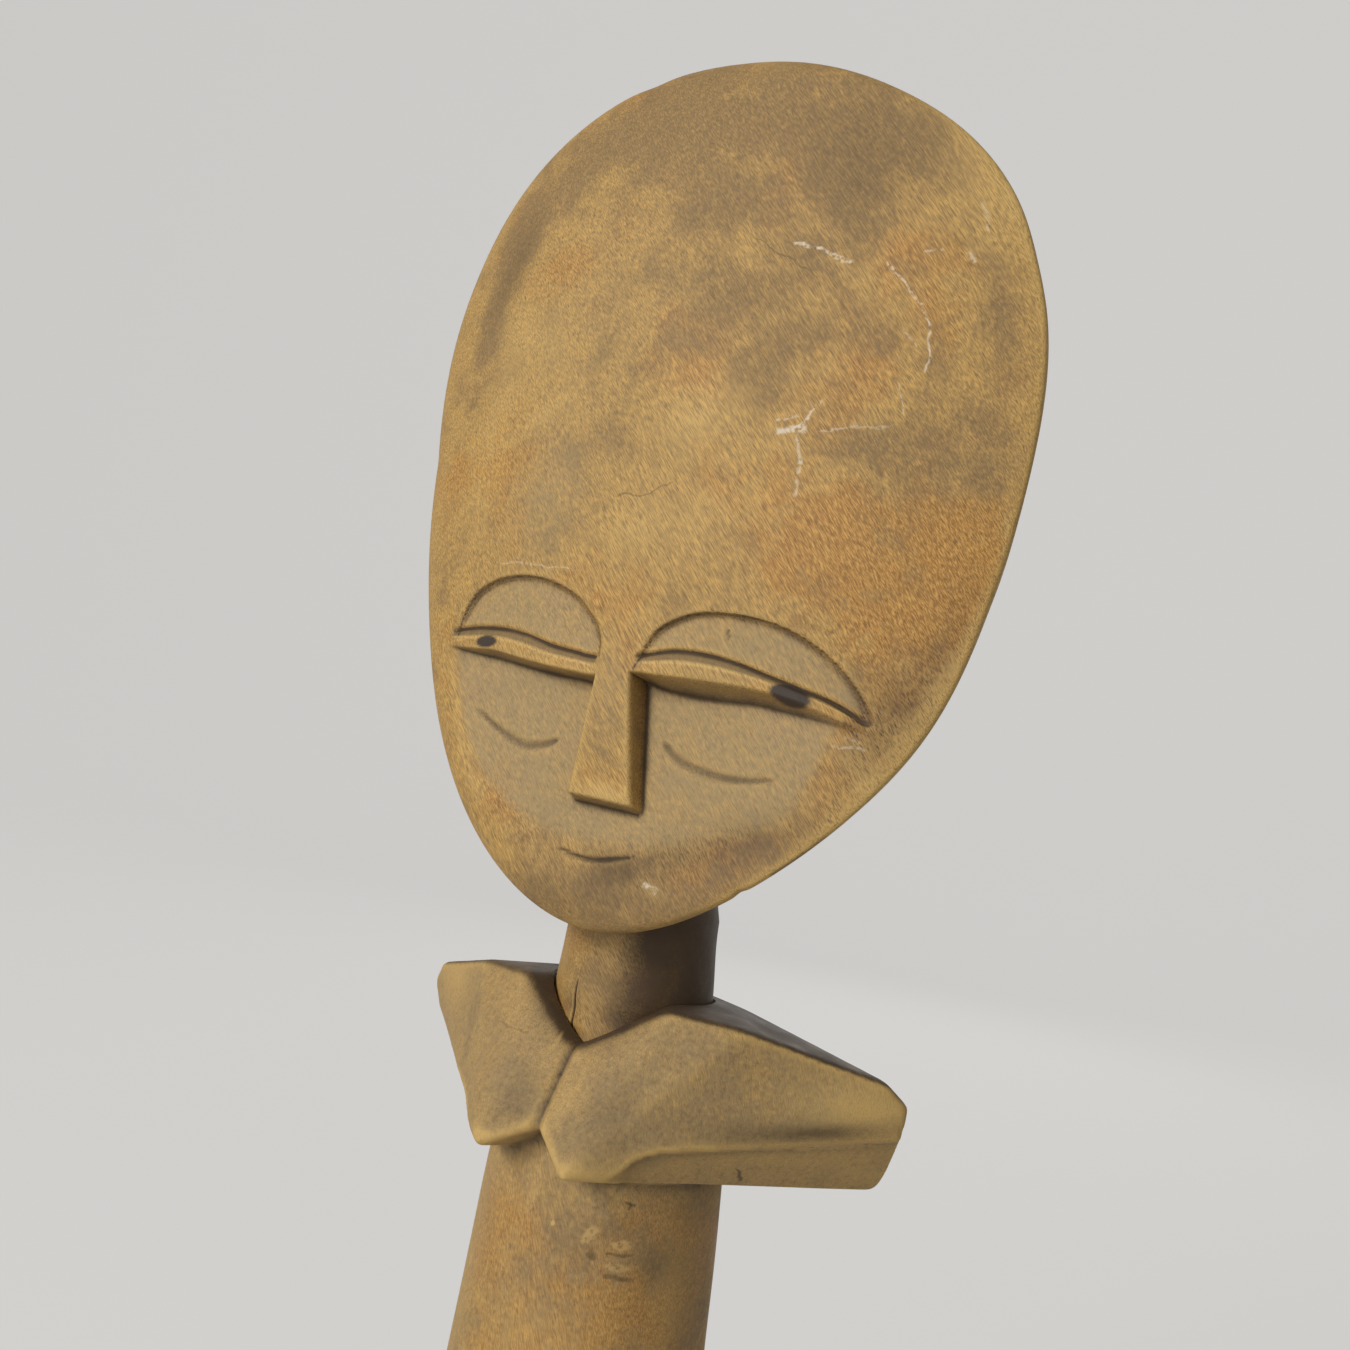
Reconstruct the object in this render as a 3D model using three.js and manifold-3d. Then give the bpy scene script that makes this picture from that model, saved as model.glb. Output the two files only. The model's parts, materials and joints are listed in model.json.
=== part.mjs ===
// A carved wooden fertility doll: a flat egg-shaped head with its neck, set on a peg in a round body.
// Millimetres, +Z up. The face looks along -Y and the origin is the middle of the flat base.
import * as THREE from 'three';
import { ConvexGeometry } from 'three/addons/geometries/ConvexGeometry.js';
import { mergeVertices } from 'three/addons/utils/BufferGeometryUtils.js';
import Module from 'manifold-3d';

const wasm = await Module();
wasm.setup();

// Body: a round column that widens to its base
const BODY_HEIGHT = 190; // from the base to the level where the neck leaves the shoulders
const BASE_RADIUS = 34.5;
const BASE_EDGE = 2.5; // rounding of the edge it stands on
const CHEST_RADIUS = 25.2;
const CHEST_SLOPE = 14; // height of the slope from the neck's seat down to the front of the chest

// Neck, its seat in the shoulders and the hidden peg
const FIT_GAP = 0.3; // clearance between the neck, the peg and the wood round them
const NECK_RADIUS = 18.2;
const NECK_TOP_RADIUS = 16.7; // at the chin
const NECK_LIP = 1.2; // rounding of the neck's foot
const SEAT_LEDGE = 0.8; // the seat's floor reaches this far past the neck at the front
const SEAT_DEPTH = 6.5; // the neck's seat lies this far below the shoulders
const PEG_RADIUS = 7;
const PEG_CHAMFER = 1;
const PEG_IN_BODY = 34;
const PEG_IN_HEAD = 30;

// Breasts and arms: a wedge on each side, measured from the body's axis and down from the shoulder level
const ARM_REACH = 62.2;
const ARM_SWEEP = 15; // how far behind the axis the front of the arm's end lies
const ARM_LEAN = 4.7; // the top of the arm's end lies this far in front of its fold
const ARM_INSET = 1.7; // and this far inside its reach
const ARM_THICKNESS = 14; // front to back at its end
const ARM_TOP_DROP = 4.2;
const ARM_TOP_SLOPE = 4.8; // fall of the arm's top from front to back at its end
const ARM_FOLD_DROP = 16.6; // outer end of the fold between the front of the arm and its underside
const ARM_BOTTOM_DROP = 29.3;
const ARM_CHAMFER = 3; // how far the underside is cut back below that fold
const FOLD_REACH = 20.8; // inner end of the fold, beside the breast
const FOLD_FORWARD = 26;
const FOLD_DROP = 22.6;
const ARRIS_REACH = 32.7; // arris along the top of the arm, on its way from the neck outwards
const ARRIS_FORWARD = 12.4;
const ARRIS_RISE = 4.9;
const BREAST_SPREAD = 9.8;
const BREAST_FORWARD = 36.5;
const BREAST_DROP = 27.9;
const CREASE_FORWARD = 31.8; // foot of the crease between the breasts
const CREASE_DROP = 20.8;
const CREASE_TOP_FORWARD = 23.6; // head of that crease, in front of the neck
const CREASE_TOP_DROP = 7.8;
const COLLAR_REACH = 17.4; // the front of the wedge rises to here on both sides of the neck
const SHOULDER_RISE = 5.8; // top of the shoulders beside the neck
const WEDGE_OVERLAP = 1.5; // how far the two wedges run into each other and into the torso
const WORN_EDGE = 2.4; // rounding of the wedge's arrises

// Head: a thin plate with an egg-shaped outline, bowed back at the sides
const HEAD_HEIGHT = 190;
const HEAD_WIDTH = 145.4; // halfway up
const HEAD_EGG = 0.172; // how much wider the upper half is than the lower half
const CHIN_FORWARD = 25.2; // rim of the chin in front of the neck's axis
const CHIN_RISE = 19.7; // rim of the chin above the shoulders
const LEAN_BACK = 2.8; // degrees
const LEAN_ASIDE = 2; // degrees, towards +X
const FRONT_CROWN = 5.6;
const BACK_CROWN = 9;
const RIM_HALF = 4; // half the thickness at the rounded rim
const RIM_POWER = 8; // a higher power gives a tighter rounding
const SIDE_BOW = 6.5; // how far the widest part of the rim lies behind the middle
// The outline was cut by eye: how far it lies outside an even egg, at angles round its middle from +X
const OUTLINE_WAVES = [
  [-180, -3.1], [-150, -1.5], [-120, 1.1], [-95, 0.6], [-70, -0.2], [-36, 3.2], [-10, 0.4],
  [12, -0.9], [48, 0.8], [72, -1.1], [95, -0.4], [124, 2.2], [150, 0.5], [180, -3.1],
];
const OUTLINE_HOLD = 4; // a higher power keeps those waves closer to the rim
const NAPE_HEIGHT = 90; // where the ridge behind the neck runs out into the head, above the shoulders
const NAPE_FORWARD = 13;
const NAPE_RADIUS = 5;

// Face, measured up from the chin along the head
const EYE_LINE = 54;
const EYE_INNER = 4;
const EYE_OUTER = 51.2;
const BROW_RISE = 16.2;
const BROW_DEPTH = 1.7;
const LID_UNDERCUT = 2.5; // height of the sloping underside of the eyelids
const CHEEK_LEVEL = 1.5; // under the eyelids the flat cheeks lie this far in front of the rim
const CHEEK_RISE = 0.7; // how much nearer the front they lie at the foot of the nose
const NOSE_BASE = 27;
const NOSE_BRIDGE_WIDTH = 8.2;
const NOSE_BASE_WIDTH = 15.4;
const NOSE_BRIDGE_OFFSET = -2; // the bridge was cut a little off centre
const LIP_HEIGHT = 8; // where the cheek cut runs out above the chin

// Resolution of the curved surfaces
const ROUND_SEGMENTS = 48;
const HEAD_ROWS = 34;
const HEAD_COLUMNS = 26;
const ARC_STEPS = 5;
const BROW_STEPS = 20;
const MERGE_DISTANCE = 1e-5;

const CUT_REACH = 60; // cutting tools reach this far past the wood
const seatFloor = BODY_HEIGHT - SEAT_DEPTH;
const neckFoot = seatFloor + FIT_GAP;
const chinLevel = BODY_HEIGHT + CHIN_RISE;

// Solids for cutting and joining
function toSolid(geometry) {
  const bare = geometry.clone();
  bare.deleteAttribute('normal');
  bare.deleteAttribute('uv');
  const merged = mergeVertices(bare, MERGE_DISTANCE);
  const vertProperties = new Float32Array(merged.attributes.position.array);
  const triVerts = new Uint32Array(merged.index.array);
  return new wasm.Manifold(new wasm.Mesh({ numProp: 3, vertProperties, triVerts }));
}

function toGeometry(solid) {
  const mesh = solid.getMesh();
  const geometry = new THREE.BufferGeometry();
  geometry.setAttribute('position', new THREE.BufferAttribute(new Float32Array(mesh.vertProperties), 3));
  geometry.setIndex(new THREE.BufferAttribute(new Uint32Array(mesh.triVerts), 1));
  geometry.computeVertexNormals();
  return geometry;
}

function turnedSolid(profile) {
  const points = profile.map(([radius, height]) => new THREE.Vector2(radius, height));
  return toSolid(new THREE.LatheGeometry(points, ROUND_SEGMENTS).rotateX(Math.PI / 2));
}

function cylinderSolid(radius, low, high) {
  return turnedSolid([[0, low], [radius, low], [radius, high], [0, high]]);
}

// A quarter circle in a turned profile, from one angle to the next about a centre
function arc(centreRadius, centreHeight, radius, from, to) {
  return Array.from({ length: ARC_STEPS + 1 }, (_, i) => {
    const angle = THREE.MathUtils.degToRad(from + ((to - from) * i) / ARC_STEPS);
    return [centreRadius + radius * Math.cos(angle), centreHeight + radius * Math.sin(angle)];
  });
}

function ring(radius, height) {
  return Array.from({ length: ROUND_SEGMENTS }, (_, i) => {
    const angle = (2 * Math.PI * i) / ROUND_SEGMENTS;
    return new THREE.Vector3(radius * Math.cos(angle), radius * Math.sin(angle), height);
  });
}

function ball(centre, radius) {
  const points = new THREE.IcosahedronGeometry(radius, 1).attributes.position;
  return Array.from({ length: points.count }, (_, i) =>
    new THREE.Vector3().fromBufferAttribute(points, i).add(centre));
}

// Body
function torso() {
  return turnedSolid([
    [0, 0],
    ...arc(BASE_RADIUS - BASE_EDGE, BASE_EDGE, BASE_EDGE, -90, 0),
    [CHEST_RADIUS, seatFloor - CHEST_SLOPE],
    [NECK_RADIUS + SEAT_LEDGE, seatFloor],
    [0, seatFloor],
  ]);
}

// One breast with its arm, on the +X side: the corners of a wedge with worn, rounded arrises
function chestWedge() {
  const beside = NECK_RADIUS + FIT_GAP;
  const corners = [
    [-WEDGE_OVERLAP, -CREASE_TOP_FORWARD, -CREASE_TOP_DROP],
    [-WEDGE_OVERLAP, -CREASE_FORWARD, -CREASE_DROP],
    [BREAST_SPREAD, -BREAST_FORWARD, -BREAST_DROP],
    [BREAST_SPREAD, -CHEST_RADIUS, -ARM_BOTTOM_DROP],
    [FOLD_REACH, -FOLD_FORWARD, -FOLD_DROP],
    [COLLAR_REACH, -COLLAR_REACH, SHOULDER_RISE],
    [ARRIS_REACH, -ARRIS_FORWARD, ARRIS_RISE],
    [beside + WEDGE_OVERLAP, 0, SHOULDER_RISE],
    [beside, beside, SHOULDER_RISE / 2],
    [-WEDGE_OVERLAP, CHEST_RADIUS - WEDGE_OVERLAP, SHOULDER_RISE / 2],
    [ARM_REACH - ARM_INSET, ARM_SWEEP - ARM_LEAN, -ARM_TOP_DROP],
    [ARM_REACH - ARM_THICKNESS / 2, ARM_SWEEP - ARM_LEAN + ARM_THICKNESS, -ARM_TOP_DROP - ARM_TOP_SLOPE],
    [ARM_REACH, ARM_SWEEP, -ARM_FOLD_DROP],
    [ARM_REACH - ARM_CHAMFER, ARM_SWEEP + ARM_CHAMFER, -ARM_BOTTOM_DROP],
    [ARM_REACH - ARM_THICKNESS, ARM_SWEEP - ARM_CHAMFER + ARM_THICKNESS, -ARM_BOTTOM_DROP],
    [-WEDGE_OVERLAP, CHEST_RADIUS, -ARM_BOTTOM_DROP],
  ].map((corner) => new THREE.Vector3(...corner));
  const middle = new THREE.Vector3();
  corners.forEach((corner) => middle.addScaledVector(corner, 1 / corners.length));
  const points = corners.flatMap((corner) => {
    const inwards = middle.clone().sub(corner).setLength(WORN_EDGE * Math.SQRT2);
    return ball(corner.clone().add(inwards), WORN_EDGE);
  });
  return toSolid(new ConvexGeometry(points).translate(0, 0, BODY_HEIGHT));
}

function bodySolid() {
  const wedge = chestWedge();
  const seat = cylinderSolid(NECK_RADIUS + FIT_GAP, seatFloor, BODY_HEIGHT + CUT_REACH);
  const pegHole = cylinderSolid(PEG_RADIUS + FIT_GAP, seatFloor - PEG_IN_BODY - FIT_GAP, neckFoot);
  return torso().add(wedge).add(wedge.mirror([1, 0, 0])).subtract(seat).subtract(pegHole);
}

// Head plate: x across, z up from the chin, y from the middle of the rim
function halfWidth(share) {
  return HEAD_WIDTH * Math.sqrt(share * (1 - share)) * (1 + HEAD_EGG * (2 * share - 1));
}

// 1 in the middle of the plate and 0 on its rim
function fullness(x, share) {
  const across = x / halfWidth(share);
  return Math.max(0, (1 - (2 * share - 1) ** 2) * (1 - across ** 2));
}

function faceDepth(x, share, crown) {
  const full = fullness(x, share);
  return crown * full + RIM_HALF * Math.sqrt(1 - (1 - full) ** RIM_POWER);
}

function sideBow(x) {
  return SIDE_BOW * (x / (HEAD_WIDTH / 2)) ** 2;
}

function frontFace(x, share) {
  return sideBow(x) - faceDepth(x, share, FRONT_CROWN);
}

function backFace(x, share) {
  return sideBow(x) + faceDepth(x, share, BACK_CROWN);
}

// How far the outline lies outside the egg at an angle, in smooth steps between the given angles
function outlineWave(angle) {
  const next = OUTLINE_WAVES.findIndex(([turn], i) => i > 0 && angle <= turn);
  const [[fromTurn, fromWave], [toTurn, toWave]] = OUTLINE_WAVES.slice(next - 1, next + 1);
  const along = THREE.MathUtils.smoothstep(angle, fromTurn, toTurn);
  return THREE.MathUtils.lerp(fromWave, toWave, along);
}

// Moves a point of the plate outwards or inwards with the outline beside it
function unevenPlate(point) {
  const [x, , z] = point;
  const up = z - HEAD_HEIGHT / 2;
  const far = Math.hypot(x, up);
  const wave = outlineWave(THREE.MathUtils.radToDeg(Math.atan2(up, x)));
  const share = THREE.MathUtils.clamp(z / HEAD_HEIGHT, 0, 1);
  const rim = share > 0 && share < 1 ? 1 - fullness(x, share) : 1;
  const grow = 1 + (wave * rim ** OUTLINE_HOLD) / Math.max(far, RIM_HALF);
  point[0] = x * grow;
  point[2] = HEAD_HEIGHT / 2 + up * grow;
}

// The plate before the face is cut: a front and a back sheet of points that share the rim
function headBlank() {
  const positions = [0, 0, 0, 0, 0, HEAD_HEIGHT];
  const chin = 0;
  const top = 1;
  const sheets = [[], []];
  const addPoint = (x, y, z) => positions.push(x, y, z) / 3 - 1;
  for (let row = 1; row < HEAD_ROWS; row += 1) {
    const share = (1 - Math.cos((Math.PI * row) / HEAD_ROWS)) / 2;
    const lines = [[], []];
    for (let column = 0; column <= HEAD_COLUMNS; column += 1) {
      const x = halfWidth(share) * Math.sin(Math.PI * (column / HEAD_COLUMNS - 0.5));
      const onRim = column === 0 || column === HEAD_COLUMNS;
      const z = share * HEAD_HEIGHT;
      const frontPoint = addPoint(x, onRim ? sideBow(x) : frontFace(x, share), z);
      lines[0].push(frontPoint);
      lines[1].push(onRim ? frontPoint : addPoint(x, backFace(x, share), z));
    }
    sheets.forEach((sheet, i) => sheet.push(lines[i]));
  }
  const triangles = [];
  sheets.forEach((sheet, i) => {
    const addTriangle = (a, b, c) => triangles.push(...(i === 0 ? [a, b, c] : [a, c, b]));
    const last = sheet.length - 1;
    for (let column = 0; column < HEAD_COLUMNS; column += 1) {
      addTriangle(chin, sheet[0][column + 1], sheet[0][column]);
      addTriangle(sheet[last][column], sheet[last][column + 1], top);
      for (let row = 0; row < last; row += 1) {
        const [low, high] = [sheet[row], sheet[row + 1]];
        addTriangle(low[column], low[column + 1], high[column + 1]);
        addTriangle(low[column], high[column + 1], high[column]);
      }
    }
  });
  const geometry = new THREE.BufferGeometry();
  geometry.setAttribute('position', new THREE.Float32BufferAttribute(positions, 3));
  geometry.setIndex(triangles);
  return toSolid(geometry);
}

const X_AXIS = new THREE.Vector3(1, 0, 0);
const Y_AXIS = new THREE.Vector3(0, 1, 0);
const Z_AXIS = new THREE.Vector3(0, 0, 1);

// The cut below the eyes: flat cheeks under the eyelids that run out at the lips and leave the nose
function cheekCut() {
  const lidFront = frontFace(EYE_INNER, EYE_LINE / HEAD_HEIGHT);
  const lipFront = frontFace(0, LIP_HEIGHT / HEAD_HEIGHT);
  const profile = new THREE.Shape([
    new THREE.Vector2(-CUT_REACH, EYE_LINE),
    new THREE.Vector2(-CUT_REACH, LIP_HEIGHT),
    new THREE.Vector2(lipFront, LIP_HEIGHT),
    new THREE.Vector2(-CHEEK_LEVEL - CHEEK_RISE, NOSE_BASE),
    new THREE.Vector2(-CHEEK_LEVEL, EYE_LINE - LID_UNDERCUT),
    new THREE.Vector2(lidFront, EYE_LINE),
  ]);
  const width = HEAD_WIDTH + CUT_REACH;
  const sweep = new THREE.ExtrudeGeometry(profile, { depth: width, bevelEnabled: false });
  sweep.translate(0, 0, -width / 2).applyMatrix4(new THREE.Matrix4().makeBasis(Y_AXIS, Z_AXIS, X_AXIS));
  return toSolid(sweep).subtract(noseKept());
}

function noseKept() {
  const outline = new THREE.Shape([
    new THREE.Vector2(-NOSE_BASE_WIDTH / 2, NOSE_BASE),
    new THREE.Vector2(NOSE_BASE_WIDTH / 2, NOSE_BASE),
    new THREE.Vector2(NOSE_BRIDGE_OFFSET + NOSE_BRIDGE_WIDTH / 2, EYE_LINE + LID_UNDERCUT),
    new THREE.Vector2(NOSE_BRIDGE_OFFSET - NOSE_BRIDGE_WIDTH / 2, EYE_LINE + LID_UNDERCUT),
  ]);
  return toSolid(frontwards(outline, 2 * CUT_REACH).translate(0, CUT_REACH, 0));
}

// Extrudes an outline drawn in x and z towards the front
function frontwards(outline, depth) {
  const solid = new THREE.ExtrudeGeometry(outline, { depth, bevelEnabled: false, curveSegments: BROW_STEPS });
  return solid.applyMatrix4(new THREE.Matrix4().makeBasis(X_AXIS, Z_AXIS, Y_AXIS.clone().negate()));
}

// The half-moon under one brow, on the +X side, deepest along the brow
function browCut() {
  const share = EYE_LINE / HEAD_HEIGHT;
  const inner = frontFace(EYE_INNER, share);
  const outer = frontFace(EYE_OUTER, share);
  const halfLength = (EYE_OUTER - EYE_INNER) / 2;
  const outline = new THREE.Shape();
  outline.absellipse(0, 0, halfLength, BROW_RISE, 0, Math.PI, false);
  const moon = frontwards(outline, CUT_REACH);
  moon.rotateX(-Math.atan(BROW_DEPTH / BROW_RISE)).rotateZ(Math.atan((outer - inner) / (2 * halfLength)));
  return toSolid(moon.translate(EYE_INNER + halfLength, (inner + outer) / 2, EYE_LINE));
}

function neckSolid() {
  return toSolid(new ConvexGeometry([
    ...ring(NECK_RADIUS - NECK_LIP, neckFoot),
    ...ring(NECK_RADIUS, neckFoot + NECK_LIP),
    ...ring(NECK_TOP_RADIUS, chinLevel),
    ...ball(new THREE.Vector3(0, -NAPE_FORWARD, BODY_HEIGHT + NAPE_HEIGHT), NAPE_RADIUS),
  ]));
}

function headSolid() {
  const brow = browCut();
  const plate = headBlank().warp(unevenPlate);
  const face = plate.subtract(cheekCut()).subtract(brow).subtract(brow.mirror([1, 0, 0]));
  const placed = face.rotate([-LEAN_BACK, LEAN_ASIDE, 0]).translate([0, -CHIN_FORWARD, chinLevel]);
  const pegHole = cylinderSolid(PEG_RADIUS + FIT_GAP, seatFloor, neckFoot + PEG_IN_HEAD + FIT_GAP);
  return placed.add(neckSolid()).subtract(pegHole);
}

function pegGeometry() {
  const low = seatFloor - PEG_IN_BODY;
  const high = neckFoot + PEG_IN_HEAD;
  return toGeometry(turnedSolid([
    [0, low],
    [PEG_RADIUS - PEG_CHAMFER, low],
    [PEG_RADIUS, low + PEG_CHAMFER],
    [PEG_RADIUS, high - PEG_CHAMFER],
    [PEG_RADIUS - PEG_CHAMFER, high],
    [0, high],
  ]));
}

function piece(name, geometry, color, roughness) {
  const material = new THREE.MeshStandardMaterial({ color, roughness, metalness: 0 });
  const mesh = new THREE.Mesh(geometry, material);
  mesh.name = name;
  return mesh;
}

const doll = new THREE.Group();
doll.add(piece('body', toGeometry(bodySolid()), '#86663f', 0.6));
doll.add(piece('head', toGeometry(headSolid()), '#8c6b42', 0.55));
doll.add(piece('neck_peg', pegGeometry(), '#b48a58', 0.7));

export default doll;
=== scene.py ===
# %% [markdown]
# # A carved wooden fertility doll
# The doll is a figure carved from pale wood and darkened by oil and handling: a flat, egg-shaped
# head with a shallow carved face, a short neck, and a column of a body with two wedge-shaped arms.
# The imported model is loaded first. It fixes where every part sits and how it moves, so each
# finished piece is made in the same place and then handed to the body it moves with.

# %% Load the frame
import json
import math

import bmesh
import bpy
import numpy as np
from mathutils import Matrix, Vector

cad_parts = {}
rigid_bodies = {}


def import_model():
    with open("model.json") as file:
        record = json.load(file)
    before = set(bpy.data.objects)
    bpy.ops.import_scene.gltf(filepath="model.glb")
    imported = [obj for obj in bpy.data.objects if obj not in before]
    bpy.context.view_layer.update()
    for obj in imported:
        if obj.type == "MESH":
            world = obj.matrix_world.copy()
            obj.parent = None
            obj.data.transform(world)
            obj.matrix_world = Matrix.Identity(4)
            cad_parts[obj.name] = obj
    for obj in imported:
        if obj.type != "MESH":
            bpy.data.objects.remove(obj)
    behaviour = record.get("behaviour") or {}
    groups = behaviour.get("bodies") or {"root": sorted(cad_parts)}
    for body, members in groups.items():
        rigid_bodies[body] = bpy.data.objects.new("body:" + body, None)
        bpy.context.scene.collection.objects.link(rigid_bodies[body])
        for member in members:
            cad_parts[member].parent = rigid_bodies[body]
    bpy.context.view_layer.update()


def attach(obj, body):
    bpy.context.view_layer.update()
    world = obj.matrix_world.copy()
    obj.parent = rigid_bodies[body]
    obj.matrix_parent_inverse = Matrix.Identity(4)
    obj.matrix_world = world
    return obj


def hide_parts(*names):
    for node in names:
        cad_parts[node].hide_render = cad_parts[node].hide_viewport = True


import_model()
MM = 0.001

# %% [markdown]
# A maker writes the main sizes down once. They are the sizes of the solids, in millimetres: the
# height of the body, the round seat that the neck stands in, and the egg of the head.

# %% Main sizes
BODY_HEIGHT = 190.0
SEAT_DEPTH = 6.5
FIT_GAP = 0.3
SEAT_FLOOR = BODY_HEIGHT - SEAT_DEPTH
NECK_FOOT = SEAT_FLOOR + FIT_GAP
NECK_RADIUS = 18.2
PEG_RADIUS = 7.0
PEG_HOLE = PEG_RADIUS + FIT_GAP
PEG_IN_BODY = 34.0
PEG_IN_HEAD = 30.0
HEAD_HEIGHT = 190.0
HEAD_WIDTH = 145.4
HEAD_EGG = 0.172
FRONT_CROWN = 5.6
BACK_CROWN = 9.0
RIM_HALF = 4.0
RIM_SOFT = 8.0
RIM_SHARP = 90.0
RIM_FORWARD = 2.8
BACK_POWER = 4.0
SIDE_BOW = 6.5
CHIN_AT = (0.0, -25.2, BODY_HEIGHT + 19.7)
LEAN_BACK = math.radians(2.8)
LEAN_ASIDE = math.radians(2.0)

# %% [markdown]
# Both kinds of node trees, for shapes and for finishes, are sums over sockets. One small class
# wraps a socket, so that a sum is written as plain Python and each operator adds its Math node.
# One method makes every other node from its type, its settings and what its sockets get.

# %% Node sums as Python
class Value:
    def __init__(self, maker, socket):
        self.maker = maker
        self.socket = socket

    def sum_of(self, operation, *terms):
        return self.maker.node("ShaderNodeMath", {"operation": operation}, dict(enumerate(terms)))

    def __add__(self, other):
        return self.sum_of("ADD", self, other)

    def __sub__(self, other):
        return self.sum_of("SUBTRACT", self, other)

    def __rsub__(self, other):
        return self.sum_of("SUBTRACT", other, self)

    def __mul__(self, other):
        return self.sum_of("MULTIPLY", self, other)

    def __truediv__(self, other):
        return self.sum_of("DIVIDE", self, other)

    def __pow__(self, other):
        return self.sum_of("POWER", self, other)

    def sqrt(self):
        return self.sum_of("SQRT", self)

    def at_least(self, low):
        return self.sum_of("MAXIMUM", self, low)

    def at_most(self, high):
        return self.sum_of("MINIMUM", self, high)

    def size(self):
        return self.sum_of("ABSOLUTE", self)

    def ramp(self, low, high):
        ends = {"Value": self, "From Min": low, "From Max": high, "To Min": 0.0, "To Max": 1.0}
        return self.maker.node("ShaderNodeMapRange", {"interpolation_type": "SMOOTHSTEP"}, ends)

    __radd__ = __add__
    __rmul__ = __mul__


class NodeMaker:
    def __init__(self, tree):
        self.tree = tree

    def node(self, kind, settings=None, sockets=None, out=0):
        made = self.tree.nodes.new(kind)
        for name, setting in (settings or {}).items():
            setattr(made, name, setting)
        for key, value in (sockets or {}).items():
            if isinstance(value, Value):
                self.tree.links.new(value.socket, made.inputs[key])
            else:
                made.inputs[key].default_value = value
        return made if out is None else Value(self, made.outputs[out])


def bare_tree(owner):
    """A node maker for the emptied tree of a material or a world."""
    owner.use_nodes = True
    owner.node_tree.nodes.clear()
    return NodeMaker(owner.node_tree)


def axes(maker, vector):
    """The x, y and z of a vector."""
    parts = maker.node("ShaderNodeSeparateXYZ", None, {"Vector": vector}, out=None)
    return [Value(maker, socket) for socket in parts.outputs]


def placed(name, data):
    """A new object in the scene."""
    made = bpy.data.objects.new(name, data)
    bpy.context.collection.objects.link(made)
    return made


def baked(obj):
    """The plain mesh of an object with its modifiers worked out. The object itself goes."""
    shaped = obj.evaluated_get(bpy.context.evaluated_depsgraph_get())
    mesh = bpy.data.meshes.new_from_object(shaped)
    bpy.data.objects.remove(obj)
    return mesh


def realised(rule, mesh, inputs):
    """The mesh that a Geometry Nodes tree makes of another mesh."""
    start = placed("start", mesh)
    modifier = start.modifiers.new("rule", "NODES")
    modifier.node_group = rule.tree
    for item in rule.tree.interface.items_tree:
        if item.in_out == "INPUT" and item.name in inputs:
            modifier[item.identifier] = inputs[item.name]
    return baked(start)


def rule_tree(name, sizes):
    """An empty Geometry Nodes tree with one named input for each size."""
    tree = bpy.data.node_groups.new(name, "GeometryNodeTree")
    inputs = {"Geometry": "Geometry", **dict.fromkeys(sizes, "Float"), "Wood": "Material"}
    for label, kind in inputs.items():
        tree.interface.new_socket(label, in_out="INPUT", socket_type="NodeSocket" + kind)
    tree.interface.new_socket("Geometry", in_out="OUTPUT", socket_type="NodeSocketGeometry")
    maker = NodeMaker(tree)
    entry = maker.node("NodeGroupInput", out=None)
    return maker, {socket.name: Value(maker, socket) for socket in entry.outputs if socket.name}


def place_by_rule(maker, given, x, y, z):
    """Ends a tree: moves each point to x, y, z, realises it and gives it the wood."""
    place = maker.node("ShaderNodeCombineXYZ", None, {"X": x, "Y": y, "Z": z})
    sockets = {"Geometry": given["Geometry"], "Position": place}
    moved = maker.node("GeometryNodeSetPosition", None, sockets)
    real = maker.node("GeometryNodeRealizeInstances", None, {"Geometry": moved})
    sockets = {"Geometry": real, "Material": given["Wood"]}
    wooden = maker.node("GeometryNodeSetMaterial", None, sockets)
    maker.node("NodeGroupOutput", None, {"Geometry": wooden}, out=None)


print("node helpers ready")

# %% [markdown]
# The finish comes first, because every piece wears it. Old oiled wood is a yellow brown that
# turns orange where it is rubbed and grey-brown where oil and dust have soaked in, with short
# pale and dark fibres all over. The large patches follow attributes that are worked out for each
# point of a piece (stain, rub, grey, dark, wear, paint, line), and noise breaks their edges up.
# The dark attribute and the dark lines along the carving also carry painted shade.

# %% Worn wood
def colour(red, green, blue):
    """A colour written as it looks on a screen, 0 to 255, made linear."""
    return tuple(((c / 255 + 0.055) / 1.055) ** 2.4 for c in (red, green, blue)) + (1.0,)


YELLOW_BROWN = colour(184, 147, 86)
ORANGE_BROWN = colour(178, 127, 60)
TAUPE = colour(136, 110, 74)
GREY_DUST = colour(168, 145, 105)
WORN_YELLOW = colour(216, 178, 108)
DARK_OIL_AND_SHADE = colour(62, 46, 29)
PUPIL = colour(58, 46, 37)
SCUFF = colour(224, 208, 182)
SCAR = colour(204, 168, 106)
GOLDEN_HAIR = colour(214, 168, 90)


def blend(maker, mask, below, above):
    sockets = {0: mask, 6: below, 7: above}
    return maker.node("ShaderNodeMix", {"data_type": "RGBA"}, sockets, out=2)


def attribute(maker, name):
    return maker.node("ShaderNodeAttribute", {"attribute_name": name}, None, out=2)


def noise(maker, where, scale, detail=3.0, rough=0.55):
    sockets = {"Vector": where, "Scale": scale, "Detail": detail, "Roughness": rough}
    return maker.node("ShaderNodeTexNoise", None, sockets)


def turned(maker, where, turn, scale):
    """Coordinates turned about the front-to-back axis, then stretched."""
    return maker.node(
        "ShaderNodeMapping",
        {"vector_type": "TEXTURE"},
        {"Vector": where, "Rotation": (0.0, turn, 0.0), "Scale": scale},
    )


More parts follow.
